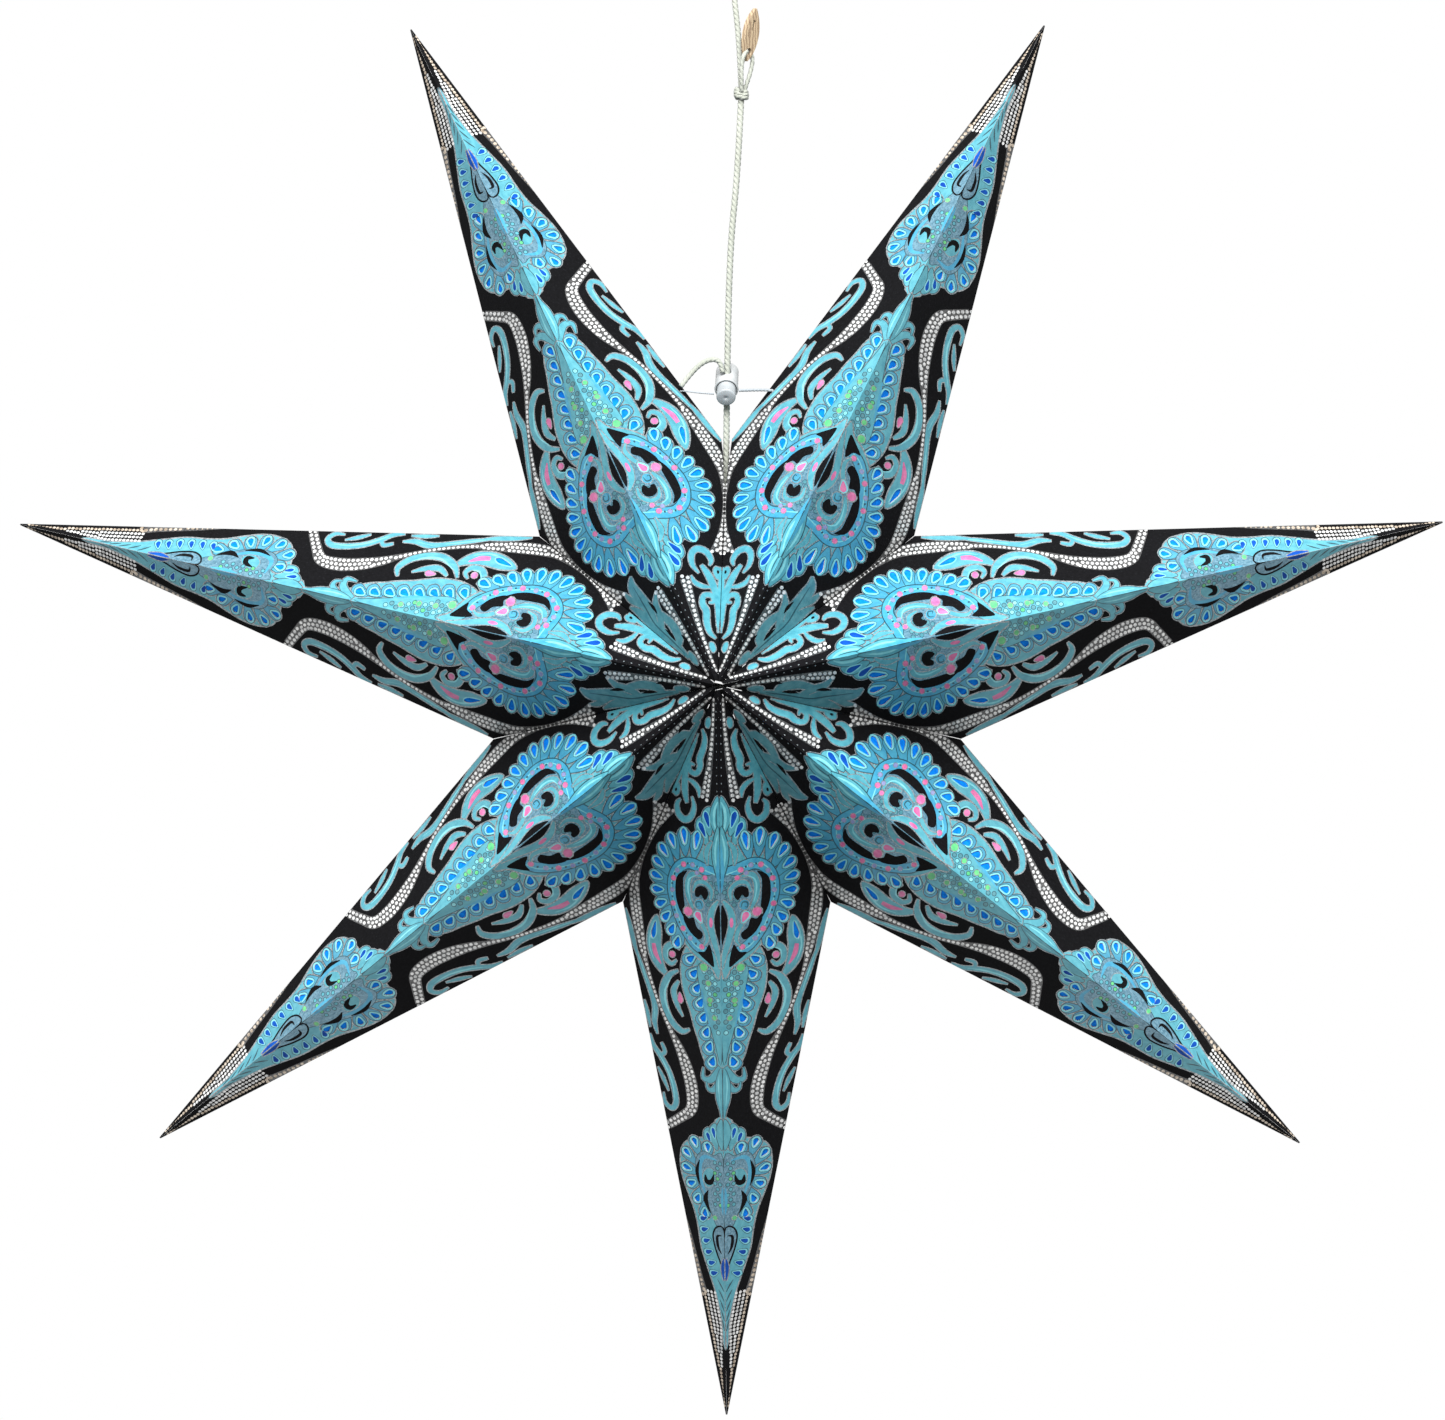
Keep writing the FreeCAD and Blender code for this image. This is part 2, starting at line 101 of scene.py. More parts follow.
def new_material(name, roughness, metallic=0.0, specular=0.5, sheen=0.0, coat=0.0):
    material = bpy.data.materials.new(name)
    material.use_nodes = True
    nodes, links = material.node_tree.nodes, material.node_tree.links
    shader = nodes["Principled BSDF"]
    shader.inputs["Roughness"].default_value = roughness
    shader.inputs["Metallic"].default_value = metallic
    shader.inputs["Specular IOR Level"].default_value = specular
    shader.inputs["Sheen Weight"].default_value = sheen
    shader.inputs["Coat Weight"].default_value = coat
    where = nodes.new("ShaderNodeTexCoord")
    return material, nodes, links, shader, where


def add_noise(nodes, links, where, size, detail=3.0):
    """Noise whose blotches are about size mm across."""
    noise = nodes.new("ShaderNodeTexNoise")
    noise.inputs["Scale"].default_value = 1.0 / (size * MM)
    noise.inputs["Detail"].default_value = detail
    links.new(where.outputs["Object"], noise.inputs["Vector"])
    return noise.outputs["Fac"]


def add_ramp(nodes, links, value, stops):
    ramp = nodes.new("ShaderNodeValToRGB")
    while len(ramp.color_ramp.elements) < len(stops):
        ramp.color_ramp.elements.new(0.5)
    for element, (place, colour) in zip(ramp.color_ramp.elements, stops):
        element.position = place
        element.color = (*(c * SHADE for c in colour), 1.0)
    links.new(value, ramp.inputs["Fac"])
    return ramp.outputs["Color"]


def add_bump(nodes, links, value, shader, strength, height):
    bump = nodes.new("ShaderNodeBump")
    bump.inputs["Strength"].default_value = strength
    bump.inputs["Distance"].default_value = height * MM
    links.new(value, bump.inputs["Height"])
    links.new(bump.outputs["Normal"], shader.inputs["Normal"])


def ink(name, dark, light, roughness=0.42, metallic=0.25, specular=0.3):
    """Printed pearl ink: cloudy colour, with a fine pressed grain."""
    material, nodes, links, shader, where = new_material(name, roughness, metallic, specular)
    cloud = add_noise(nodes, links, where, INK_CLOUD)
    links.new(add_ramp(nodes, links, cloud, [(0.3, dark), (0.7, light)]), shader.inputs["Base Color"])
    add_bump(nodes, links, add_noise(nodes, links, where, INK_GRAIN), shader, INK_BUMP, 0.12)
    return material


def glitter(name, dark, light, size=0.8, metallic=0.6, roughness=0.38):
    """Raised glitter: small cells of different brightness, each with its own tilt."""
    material, nodes, links, shader, where = new_material(name, roughness, metallic)
    cells = nodes.new("ShaderNodeTexVoronoi")
    cells.inputs["Scale"].default_value = 1.0 / (size * MM)
    links.new(where.outputs["Object"], cells.inputs["Vector"])
    tint = add_ramp(nodes, links, cells.outputs["Color"], [(0.15, dark), (0.85, light)])
    links.new(tint, shader.inputs["Base Color"])
    add_bump(nodes, links, cells.outputs["Distance"], shader, 0.6, 0.3)
    return material


def card_black():
    """Matt black card with faint paler specks and a soft paper tooth."""
    material, nodes, links, shader, where = new_material("card_black", 0.85, 0.0, 0.04)
    specks = nodes.new("ShaderNodeTexVoronoi")
    specks.inputs["Scale"].default_value = 1.0 / (1.3 * MM)
    links.new(where.outputs["Object"], specks.inputs["Vector"])
    stops = [(0.0, (0.035, 0.04, 0.045)), (0.12, (0.005, 0.005, 0.006)), (1.0, (0.0025, 0.0025, 0.003))]
    links.new(add_ramp(nodes, links, specks.outputs["Distance"], stops), shader.inputs["Base Color"])
    add_bump(nodes, links, add_noise(nodes, links, where, 0.35), shader, 0.4, 0.08)
    return material


def tissue_blue():
    """Blue tissue paper behind the windows, as an opaque sheet; the real tissue lets a little light
    through.
    """
    material, nodes, links, shader, where = new_material("tissue_blue", 0.85, 0.0, 0.05)
    fibres = add_noise(nodes, links, where, 1.6, 6.0)
    stops = [(0.3, (0.0, 0.13, 0.58)), (0.7, (0.002, 0.25, 0.92))]
    links.new(add_ramp(nodes, links, fibres, stops), shader.inputs["Base Color"])
    add_bump(nodes, links, fibres, shader, 0.3, 0.1)
    return material


def cotton(name, dark, light):
    """Twisted cotton: fine fibres along the strand, a soft sheen and slight soiling."""
    material, nodes, links, shader, where = new_material(name, 0.85, 0.0, 0.2, sheen=0.08)
    fibres = add_noise(nodes, links, where, 0.45, 5.0)
    soil = add_noise(nodes, links, where, 14.0)
    mix = nodes.new("ShaderNodeMath")
    mix.operation = "MULTIPLY_ADD"
    links.new(fibres, mix.inputs[0])
    mix.inputs[1].default_value = 0.5
    half = nodes.new("ShaderNodeMath")
    half.operation = "MULTIPLY"
    half.inputs[1].default_value = 0.5
    links.new(soil, half.inputs[0])
    links.new(half.outputs[0], mix.inputs[2])
    tint = add_ramp(nodes, links, mix.outputs[0], [(0.3, dark), (0.7, light)])
    links.new(tint, shader.inputs["Base Color"])
    add_bump(nodes, links, fibres, shader, 0.7, 0.25)
    return material


def plastic(name, dark, light, roughness):
    material, nodes, links, shader, where = new_material(name, roughness, 0.0, 0.5, coat=0.15)
    cloud = add_noise(nodes, links, where, 5.0)
    links.new(add_ramp(nodes, links, cloud, [(0.3, dark), (0.7, light)]), shader.inputs["Base Color"])
    add_bump(nodes, links, add_noise(nodes, links, where, 0.6), shader, 0.12, 0.05)
    return material


def wood():
    material, nodes, links, shader, where = new_material("adjuster_wood", 0.55, 0.0, 0.4)
    grain = nodes.new("ShaderNodeTexWave")
    grain.bands_direction = "X"
    grain.inputs["Scale"].default_value = 260.0
    grain.inputs["Distortion"].default_value = 6.0
    grain.inputs["Detail"].default_value = 3.0
    links.new(where.outputs["Object"], grain.inputs["Vector"])
    stops = [(0.2, (0.24, 0.165, 0.10)), (0.8, (0.42, 0.32, 0.20))]
    links.new(add_ramp(nodes, links, grain.outputs["Fac"], stops), shader.inputs["Base Color"])
    add_bump(nodes, links, grain.outputs["Fac"], shader, 0.3, 0.1)
    return material


INKS = {
    "black": card_black(),
    "cyan": ink("ink_cyan", (0.065, 0.33, 0.42), (0.12, 0.45, 0.53)),
    "sky": ink("ink_sky", (0.05, 0.29, 0.46), (0.08, 0.40, 0.56)),
    "light": ink("ink_light_cyan", (0.17, 0.60, 0.68), (0.28, 0.72, 0.78)),
    "teal": ink("ink_teal", (0.06, 0.25, 0.31), (0.14, 0.37, 0.42), metallic=0.35),
    "ring": ink("ink_ring_blue", (0.04, 0.31, 0.52), (0.08, 0.43, 0.62)),
    "azure": ink("ink_azure", (0.0, 0.04, 0.28), (0.001, 0.085, 0.43), 0.7, 0.0, 0.08),
    "lilac": ink("ink_lilac", (0.22, 0.26, 0.55), (0.34, 0.36, 0.62)),
    "deep": ink("ink_deep_teal", (0.012, 0.065, 0.09), (0.025, 0.10, 0.13)),
    "pink": ink("ink_pink", (0.52, 0.09, 0.26), (0.72, 0.20, 0.40), metallic=0.0),
    "green": ink("ink_green", (0.05, 0.40, 0.16), (0.14, 0.58, 0.20), metallic=0.0),
    "grey": glitter("ink_grey_glitter", (0.07, 0.21, 0.30), (0.20, 0.41, 0.53), 0.9, 0.45),
    "silver": glitter("ink_silver_glitter", (0.16, 0.20, 0.22), (0.55, 0.60, 0.62), 0.6),
    "soot": glitter("rope_ground", (0.015, 0.015, 0.016), (0.10, 0.10, 0.10), 0.7, 0.2),
    "bead": glitter("raised_silver_beads", (0.55, 0.56, 0.56), (1.10, 1.10, 1.08), 1.6, 0.4, 0.3),
    "bronze": glitter("raised_bronze_beads", (0.36, 0.28, 0.20), (0.86, 0.74, 0.60), 1.6, 0.4, 0.35),
    "paper": ink("inner_paper", (0.30, 0.29, 0.27), (0.40, 0.39, 0.37), 0.8, 0.0),
    "cut": ink("cut_card_edge", (0.45, 0.46, 0.46), (0.58, 0.58, 0.58), 0.8, 0.0),
}
INK_NAMES = list(INKS)
TISSUE = tissue_blue()
COTTON = cotton("cotton_cord", (0.27, 0.285, 0.24), (0.42, 0.435, 0.385))
THREAD = cotton("tie_thread", (0.24, 0.27, 0.29), (0.39, 0.42, 0.44))
LOCK_PLASTIC = plastic("lock_plastic", (0.33, 0.345, 0.35), (0.43, 0.44, 0.44), 0.45)
BUTTON_PLASTIC = plastic("button_plastic", (0.29, 0.31, 0.32), (0.38, 0.40, 0.41), 0.5)
WOOD = wood()
STEEL = glitter("spring_steel", (0.35, 0.35, 0.36), (0.5, 0.5, 0.5), 2.0, 1.0, 0.3)


# ---- Curves and shapes on the panel's pattern, mm -------------------------------------------------
def smooth(points, closed=False, steps=5):
    """Points along a smooth curve through the given ones."""
    count = len(points)
    made = []
    for i in range(count if closed else count - 1):
        if closed:
            p = [points[(i + k) % count] for k in (-1, 0, 1, 2)]
        else:
            p = [points[min(max(i + k, 0), count - 1)] for k in (-1, 0, 1, 2)]
        for s in range(steps):
            t = s / steps
            made.append(tuple(
                0.5 * (2 * b + (c - a) * t + (2 * a - 5 * b + 4 * c - d) * t * t
                       + (3 * b - a - 3 * c + d) * t ** 3)
                for a, b, c, d in zip(*p)))
    if not closed:
        made.append(tuple(float(v) for v in points[-1]))
    return made


def spaced(points, gap=None, count=None):
    """Points evenly spaced along a line, each with its direction."""
    lengths = [0.0]
    for a, b in zip(points, points[1:]):
        lengths.append(lengths[-1] + math.dist(a[:2], b[:2]))
    if count is None:
        count = max(2, int(lengths[-1] / gap) + 1)
    made = []
    k = 0
    for i in range(count):
        target = lengths[-1] * i / (count - 1)
        while k < len(points) - 2 and lengths[k + 1] < target:
            k += 1
        span = lengths[k + 1] - lengths[k] or 1.0
        t = (target - lengths[k]) / span
        place = [a + (b - a) * t for a, b in zip(points[k], points[k + 1])]
        run = (points[k + 1][0] - points[k][0], points[k + 1][1] - points[k][1])
        size = math.hypot(*run) or 1.0
        made.append((place, (run[0] / size, run[1] / size)))
    return made


def grow(outline, by):
    """The outline moved outwards all round."""
    count = len(outline)
    area = sum(outline[i][0] * outline[(i + 1) % count][1] - outline[(i + 1) % count][0] * outline[i][1]
               for i in range(count))
    way = by if area > 0 else -by
    made = []
    for i in range(count):
        ax, ay = outline[i - 1]
        bx, by_ = outline[(i + 1) % count]
        dx, dy = bx - ax, by_ - ay
        size = math.hypot(dx, dy) or 1.0
        made.append((outline[i][0] + dy / size * way, outline[i][1] - dx / size * way))
    return made


def ellipse(x, y, length, width, towards=(0.0, 1.0), sides=10):
    """An ellipse whose length lies along a direction."""
    dx, dy = towards
    made = []
    for i in range(sides):
        a = 2 * math.pi * i / sides
        u, v = math.cos(a) * length / 2, math.sin(a) * width / 2
        made.append((x + dx * u - dy * v, y + dy * u + dx * v))
    return made


def teardrop(x, y, length, width, towards):
    """A drop whose point lies along a direction."""
    size = math.hypot(*towards) or 1.0
    dx, dy = towards[0] / size, towards[1] / size
    made = []
    for u, v in smooth([(0.5, 0.0), (0.12, 0.34), (-0.28, 0.46), (-0.5, 0.0), (-0.28, -0.46),
                        (0.12, -0.34)], True, 3):
        u, v = u * length, v * width
        made.append((x + dx * u - dy * v, y + dy * u + dx * v))
    return made


def stroke(points, widths, steps=5):
    """A ribbon along a smooth line, given its width at each point."""
    line = smooth([(x, y, w) for (x, y), w in zip(points, widths)], False, steps)
    left, right = [], []
    for i, (x, y, w) in enumerate(line):
        ax, ay, _ = line[max(i - 1, 0)]
        bx, by, _ = line[min(i + 1, len(line) - 1)]
        dx, dy = bx - ax, by - ay
        size = math.hypot(dx, dy) or 1.0
        w = max(w, 0.06) / 2
        left.append((x - dy / size * w, y + dx / size * w))
        right.append((x + dy / size * w, y - dx / size * w))
    return left + right[::-1]


def blob(points, steps=4):
    return smooth(points, True, steps)


class Art:
    """The printed ornament of one panel: shapes painted one over another, raised beads, windows."""

    def __init__(self):
        self.shapes = []
        self.windows = []
        self.beads = []

    def paint(self, name, outline):
        self.shapes.append((name, outline))

    def rimmed(self, name, outlines, rim=0.55, rim_ink="silver", line=0.0):
        """Shapes with a common glitter rim, and a thin dark line between them if line isn't 0."""
        for outline in outlines:
            self.paint(rim_ink, grow(outline, rim))
        for outline in outlines:
            if line:
                self.paint("deep", grow(outline, line))
            self.paint(name, outline)

    def line(self, name, points, widths):
        self.paint(name, stroke(points, widths))

    def patch(self, name, points):
        self.paint(name, blob(points))

    def outlined(self, name, points, rim, rim_ink="deep"):
        """A rounded patch with a line round it."""
        self.rimmed(name, [blob(points)], rim, rim_ink)

    def curl(self, points, widths, rim):
        """A scroll in the main blue, with its glitter rim."""
        self.rimmed("cyan", [stroke(points, widths)], rim)

    def window(self, outline, pale, dark=0.0):
        """A hole through the card, with a pale rim and a dark line round it if dark isn't 0."""
        if dark:
            self.paint("deep", grow(outline, dark))
        self.paint("light", grow(outline, pale))
        self.windows.append(outline)

    def dot(self, name, x, y, radius, rim=0.35):
        if rim:
            self.paint("silver", ellipse(x, y, 2 * (radius + rim), 2 * (radius + rim)))
        self.paint(name, ellipse(x, y, 2 * radius, 2 * radius))

    def bead(self, name, x, y, towards, length=1.5, width=1.05):
        self.beads.append((name, x, y, towards, length, width))

    def rope(self, points, widths, name="bead", pitch=1.9):
        """A rope of raised beads: as many rows side by side as its width takes."""
        self.paint("soot", stroke(points, [w + 0.3 for w in widths]))
        line = smooth([(x, y, w) for (x, y), w in zip(points, widths)], False, 6)
        for (x, y, w), (dx, dy) in spaced(line, gap=pitch):
            rows = max(1, round(w / 1.7))
            for row in range(rows):
                across = (row - (rows - 1) / 2) * w / rows
                shift = 0.5 * pitch * (row % 2)
                self.bead(name, x - dy * across + dx * shift, y + dx * across + dy * shift,
                          (dx, dy), pitch * 0.82, min(1.5, w / rows * 0.86))


def crest(art, base):
    """The fan on the ridge where a motif starts, its top at base."""
    fans = [
        blob([(0, base), (2.2, base + 2.2), (3.5, base + 6.5), (3, base + 11), (0, base + 15)]),
        blob([(3.2, base + 4), (5.6, base + 4.6), (7, base + 8), (5.6, base + 12.5), (3.4, base + 15),
              (2.6, base + 9)]),
        blob([(6.4, base + 8), (9, base + 9), (9.4, base + 13), (7.2, base + 17), (4.4, base + 19),
              (4.8, base + 12.5)]),
    ]
    art.rimmed("cyan", fans[::-1], 0.6, line=0.3)
    for y, x, lean in ((base + 8.6, 4.8, 0.25), (base + 12.8, 6.8, 0.45)):
        art.rimmed("azure", [teardrop(x, y, 6.4, 2.1, (-lean, 1))], 0.45, "light")
    art.line("light", [(0.3, base + 1.5), (1.6, base + 4.5), (1.9, base + 9), (1, base + 14)],
             [0.3, 0.9, 0.9, 0.2])
    art.line("deep", [(0.7, base + 4), (1, base + 8), (0.6, base + 13)], [0.2, 0.4, 0.2])


def places_along(points, count):
    """Evenly spaced places on a smooth line through the points."""
    return [tuple(place) for place, _ in spaced(smooth(points, False, 8), count=count)]


def petals(art, places, facing, reach, width, window_length, window_width, long_first=0.0):
    """A fan of petals round a heart, each with a window cut through the card."""
    outlines, cuts = [], []
    count = len(places)
    for number, (x, y) in enumerate(places):
        dx, dy = facing[0] - x, facing[1] - y
        size = math.hypot(dx, dy)
        dx, dy = dx / size, dy / size
        share = 1.0 - number / (count - 1)
        out = 2.6 + 0.9 * long_first * share
        mid = (x - dx * out + dx * reach / 2, y - dy * out + dy * reach / 2)
        outlines.append(teardrop(mid[0], mid[1], reach, width, (dx, dy)))
        length = window_length * (1.0 + 0.55 * long_first * share ** 2)
        narrow = window_width * (1.0 - 0.2 * long_first * share ** 2)
        cuts.append(teardrop(x, y, length, narrow, (dx, dy)))
    art.rimmed("sky", outlines, 0.65, line=0.3)
    for cut in cuts:
        art.window(cut, 0.7, 0.95)


def big_heart(art):
    places = places_along([(9.4, 60.9), (14.5, 59.5), (22, 63.5), (26.7, 74), (25.6, 86),
                           (18.3, 102.8)], 11)
    art.outlined("cyan", [(0, 58), (8, 60.5), (16, 62), (22.5, 68), (23.5, 78),
                          (21.5, 89), (17.5, 99), (11, 107), (4, 111), (0, 112)], 0.6,
                 "silver")
    crest(art, 43.7)
    petals(art, places, (13, 82), 11.5, 5.8, 4.5, 2.9, 1)
    # the blue ring with its dots, and the pale face inside it
    ring = [(0.6, 74), (6.2, 72.2), (12.4, 70.2), (16.9, 72), (19.4, 76.5), (19.8, 82),
            (18.2, 88.4), (16.1, 94.3), (13.1, 99.3), (9.8, 103.2), (6, 105)]
    art.line("deep", ring, [5.2] * len(ring))
    art.line("ring", ring, [4.3] * len(ring))
    art.outlined("grey", [(0, 76.5), (6, 74.8), (12.5, 72.9), (16.3, 75), (17.3, 80.5),
                          (16.2, 87.5), (13.6, 94.5), (9.5, 100.5), (4, 104), (0, 105)], 0.3)
    art.line("light", [(x * 0.985 + 0.9, y + 0.15) for x, y in ring], [0.45] * len(ring))
    for x, y in ((7.4, 72.5), (15, 70.9), (19.5, 76.8), (19.8, 87.1), (15.7, 97), (7.7, 103.6)):
        art.dot("pink", x, y, 1.05, 0.3)
    for x, y in ((11.2, 70.8), (17.8, 73.5), (20.1, 81.6), (18.4, 92.1), (12.6, 100.6)):
        art.dot("lilac", x, y, 0.85, 0.25)
    for x, y in ((9.3, 71.4), (13.2, 70.4), (19, 75), (20.1, 79), (20.1, 84.4), (19.2, 89.8),
                 (17.2, 94.6), (14.2, 98.8), (10.2, 102.6)):
        art.paint("deep", ellipse(x, y, 1, 0.8))
    for row in range(6):
        for k in range(4):
            x = 1.3 + 2.3 * k + 1.15 * (row % 2)
            y = 77.6 + 1.75 * row
            if x < 9.4 - 0.8 * abs(row - 2):
                art.paint("deep", ellipse(x, y, 2, 2.1, sides=8))
                art.paint("teal", ellipse(x, y, 1.5, 1.6, sides=8))
    # black crescents, curls and the eye
    art.line("black", [(13.6, 73.4), (16.6, 76.4), (17, 82.6), (16.2, 88), (15.2, 92.4)],
             [0.4, 2.8, 3.5, 2.8, 0.4])
    art.curl([(7.6, 75.2), (11.6, 74.6), (13.4, 78.4), (13.1, 83.8), (11.2, 88.4)],
             [0.8, 2, 2.3, 2, 1], 0.4)
    art.line("light", [(9.6, 74.9), (12.6, 76.6), (13.3, 80.8), (12.2, 85.8)], [0.2, 0.6, 0.6, 0.2])
    art.dot("pink", 13.4, 89.8, 1.8, 0.6)
    art.curl([(3.6, 84.2), (3.4, 80.4), (6.2, 77.6), (9.6, 78), (11.2, 81.6)],
             [0.7, 1.4, 1.6, 1.4, 0.6], 0.35)
    art.patch("black", [(4.7, 82.4), (5.3, 80), (7.6, 79), (10, 80.2), (10.3, 83.2), (8.8, 83.6),
                        (7.8, 82.6), (6.2, 84.6)])
    art.rimmed("sky", [ellipse(8.6, 86.6, 4.2, 4)], 0.4)
    art.line("deep", [(7.4, 87.6), (8, 85.6), (9.8, 85.8), (9.8, 87.6), (8.8, 87.4)],
             [0.2, 0.5, 0.5, 0.4, 0.2])
    art.dot("pink", 6, 75.6, 0.95, 0.3)
    art.dot("lilac", 9.4, 73.9, 0.8, 0.3)
    art.patch("black", [(11, 92.2), (9.8, 95.8), (7.2, 98.2), (8.6, 100.8), (12.4, 98.4),
                        (15.2, 93.8), (15.2, 90.9), (13.2, 92.6)])
    art.rimmed("light", [teardrop(8.8, 91.9, 5.8, 3.9, (-0.5, 1))], 0.3)
    art.paint("pink", teardrop(8.8, 91.6, 4.4, 2.7, (-0.5, 1)))
    art.curl([(7.6, 94.2), (6.2, 96.8), (5.4, 100.4), (6.8, 103)], [1.6, 1.6, 1.4, 0.4], 0.35)
    art.patch("black", [(0, 86.2), (2.2, 91), (2.1, 95.6), (0.9, 99.8), (0, 101.6)])
    art.curl([(0.6, 84.4), (3.2, 88.4), (4, 93.6), (2.8, 99.6), (1, 106), (0.1, 111.6)],
             [0.8, 2.2, 2.7, 2.4, 1.8, 0.3], 0.35)
    art.paint("pink", ellipse(3.7, 93.4, 4.2, 1.5, (0, 1)))
    art.patch("black", [(4.3, 102.4), (2.6, 111), (5.8, 109.2), (9.4, 106), (6.6, 105.4)])
    # the flame on the ridge between crest and face
    art.outlined("cyan", [(0, 55.5), (2, 59.5), (2.9, 65), (2.2, 71), (0, 75.5)], 0.4)
    art.line("light", [(0.4, 58), (1.3, 62), (1.6, 67), (0.7, 73)], [0.2, 0.7, 0.7, 0.2])
    art.patch("ring", [(0, 62), (0.9, 68), (1.3, 74), (0, 81)])
    art.curl([(3, 61), (5.2, 65), (5, 70.6)], [0.8, 2, 0.4], 0.35)


def side_flame(art):
    art.outlined("cyan", [(27, 92.8), (30.3, 97), (31.6, 103.6), (30.2, 110.6), (26.6, 115.4),
                          (22.6, 117.6), (24.6, 112.4), (25.6, 106), (25.4, 99)], 0.6, "silver")
    art.window(teardrop(28.5, 98.8, 7.6, 2.3, (-0.21, -1)), 0.45)
    art.line("pink", [(28.8, 104.6), (28, 108.6), (25.6, 112.8)], [1.6, 2, 0.5])
    art.curl([(17.2, 105.4), (20.2, 103.9), (23.2, 105.8), (23.6, 110), (21, 112.2), (18.8, 110.4)],
             [1.4, 2, 2.2, 1.9, 1.5, 0.7], 0.45)
    art.dot("pink", 20.6, 108.2, 1.3, 0.35)
    art.curl([(18.2, 114.6), (22.6, 117.6), (24.9, 123.4), (24.3, 130), (21.5, 136), (17, 139.6),
              (13.6, 138.4)], [0.8, 2.2, 2.8, 2.6, 2.4, 2, 0.7], 0.5)
    art.curl([(18, 119), (20.2, 123.2), (18.9, 128.6), (16.4, 133.4)], [1, 2.2, 1.8, 0.5], 0.4)
    art.rimmed("pink", [teardrop(17.4, 125.8, 4.4, 2.3, (0.1, -1))], 0.35)


def body(art):
    """The tapering body under the heart, scaled inside and petalled outside."""
    art.outlined("cyan", [(0, 106), (8, 106), (13.6, 103.8), (16.6, 111), (16.4, 119.5),
                          (14.9, 125.4), (12.9, 131), (11.3, 137), (9.5, 142.4), (7.8, 148.4),
                          (4.6, 153.6), (0, 156)], 0.6, "silver")
    places = places_along([(12.6, 109), (8, 130), (3.9, 150)], 8)
    outlines, cuts = [], []
    for x, y in places:
        dx, dy = -x, 100.0 - y
        size = math.hypot(dx, dy)
        dx, dy = dx / size * 0.75 - 0.25, dy / size * 0.75 - 0.25
        outlines.append(teardrop(x + 0.2, y, 7.6, 5.4, (dx, dy)))
        cuts.append(teardrop(x, y, 4.1, 2.9, (dx, dy)))
    art.rimmed("sky", outlines[::-1], 0.5, line=0.3)
    for cut in cuts:
        art.window(cut, 0.6, 0.85)
    art.outlined("cyan", [(0, 109), (6, 109), (9.6, 112), (9, 119), (6.8, 127),
                          (4.4, 136), (2.2, 144), (0, 149)], 0.3)
    for row in range(16):
        y = 111.4 + 2.2 * row
        reach = 9.0 - 0.26 * (y - 111.4)
        for k in range(4):
            x = 1.2 + 2.3 * k + 1.15 * (row % 2)
            if x < reach:
                art.paint("deep", ellipse(x, y, 2.2, 2.1, sides=8))
                name = "green" if (3 * row + 5 * k) % 11 == 4 else ("teal" if (row + k) % 3 else "light")
                art.paint(name, ellipse(x, y, 1.6, 1.5, sides=8))
    for x, y, r in ((7, 111.9, 1.5), (5.2, 118.2, 1), (4.6, 125, 1), (2.7, 132, 0.9)):
        art.dot("green", x, y, r, 0.35)
    art.line("ring", [(8.2, 121), (7, 127), (4.6, 136)], [0.3, 1.3, 0.3])
    # barbs and the tail on the ridge
    art.rimmed("cyan", [
        stroke([(0.6, 152), (4.4, 157.6), (7.8, 157.4), (7.7, 153.2)], [2.2, 2.6, 1.6, 0.4]),
        stroke([(0.6, 157), (3.4, 161.6), (5.8, 161.6), (6.6, 158.8)], [2, 2, 1.2, 0.3]),
        blob([(0, 153), (2.4, 158), (2.4, 165), (0.9, 170), (0, 173.2)]),
    ], 0.5, line=0.25)


def outer_rope(art):
    art.rope([(20.6, 48.6), (23.4, 52.6), (27.6, 58.9), (32.4, 67.8), (36, 77), (37, 84),
              (36.2, 92.6), (34.5, 103.2), (32.6, 112)],
             [5.2, 3, 1.4, 1.4, 3.2, 4.6, 4.8, 3.8, 1.9])
    art.rope([(32.6, 112), (30.9, 118), (27.9, 127), (24.9, 134), (21.9, 140), (17.9, 147.4),
              (14.9, 155), (12.9, 163.4), (13.2, 171.4), (17.6, 175.8), (23.4, 180.2)],
             [1.9, 1.3, 1.3, 1.3, 1.9, 3.8, 5, 5.3, 4.6, 3.9, 3.6])


def border_scroll(art):
    """Curls in the corner between the rope and the side edge."""
    art.rimmed("cyan", [
        stroke([(41.2, 91.4), (39.6, 97), (37.8, 104.6), (36, 111)], [0.5, 1.6, 1.8, 0.5]),
        stroke([(37, 107), (34.6, 114), (31.6, 122), (29.6, 127.4), (28.6, 132), (29, 137.4),
                (27.8, 142.4)], [0.6, 1.5, 1.7, 2, 2.4, 2, 0.6]),
        stroke([(33.4, 129), (32, 134.6), (31, 140)], [0.5, 1.5, 0.5]),
        stroke([(31, 143), (29.6, 147.6), (26.6, 151.6), (22.9, 157.6), (20.6, 164.8), (20, 170.4),
                (22, 173), (24.8, 171), (25.4, 167)], [0.5, 1.6, 2, 2, 2.2, 2.2, 1.8, 1.4, 0.5]),
        stroke([(26, 146), (24.6, 149.6), (26.8, 151), (28.4, 148.6)], [1, 1.4, 1.2, 0.5]),
        stroke([(27.8, 156.6), (25.4, 161), (23.2, 165.8)], [0.5, 1.4, 0.4]),
    ], 0.4)


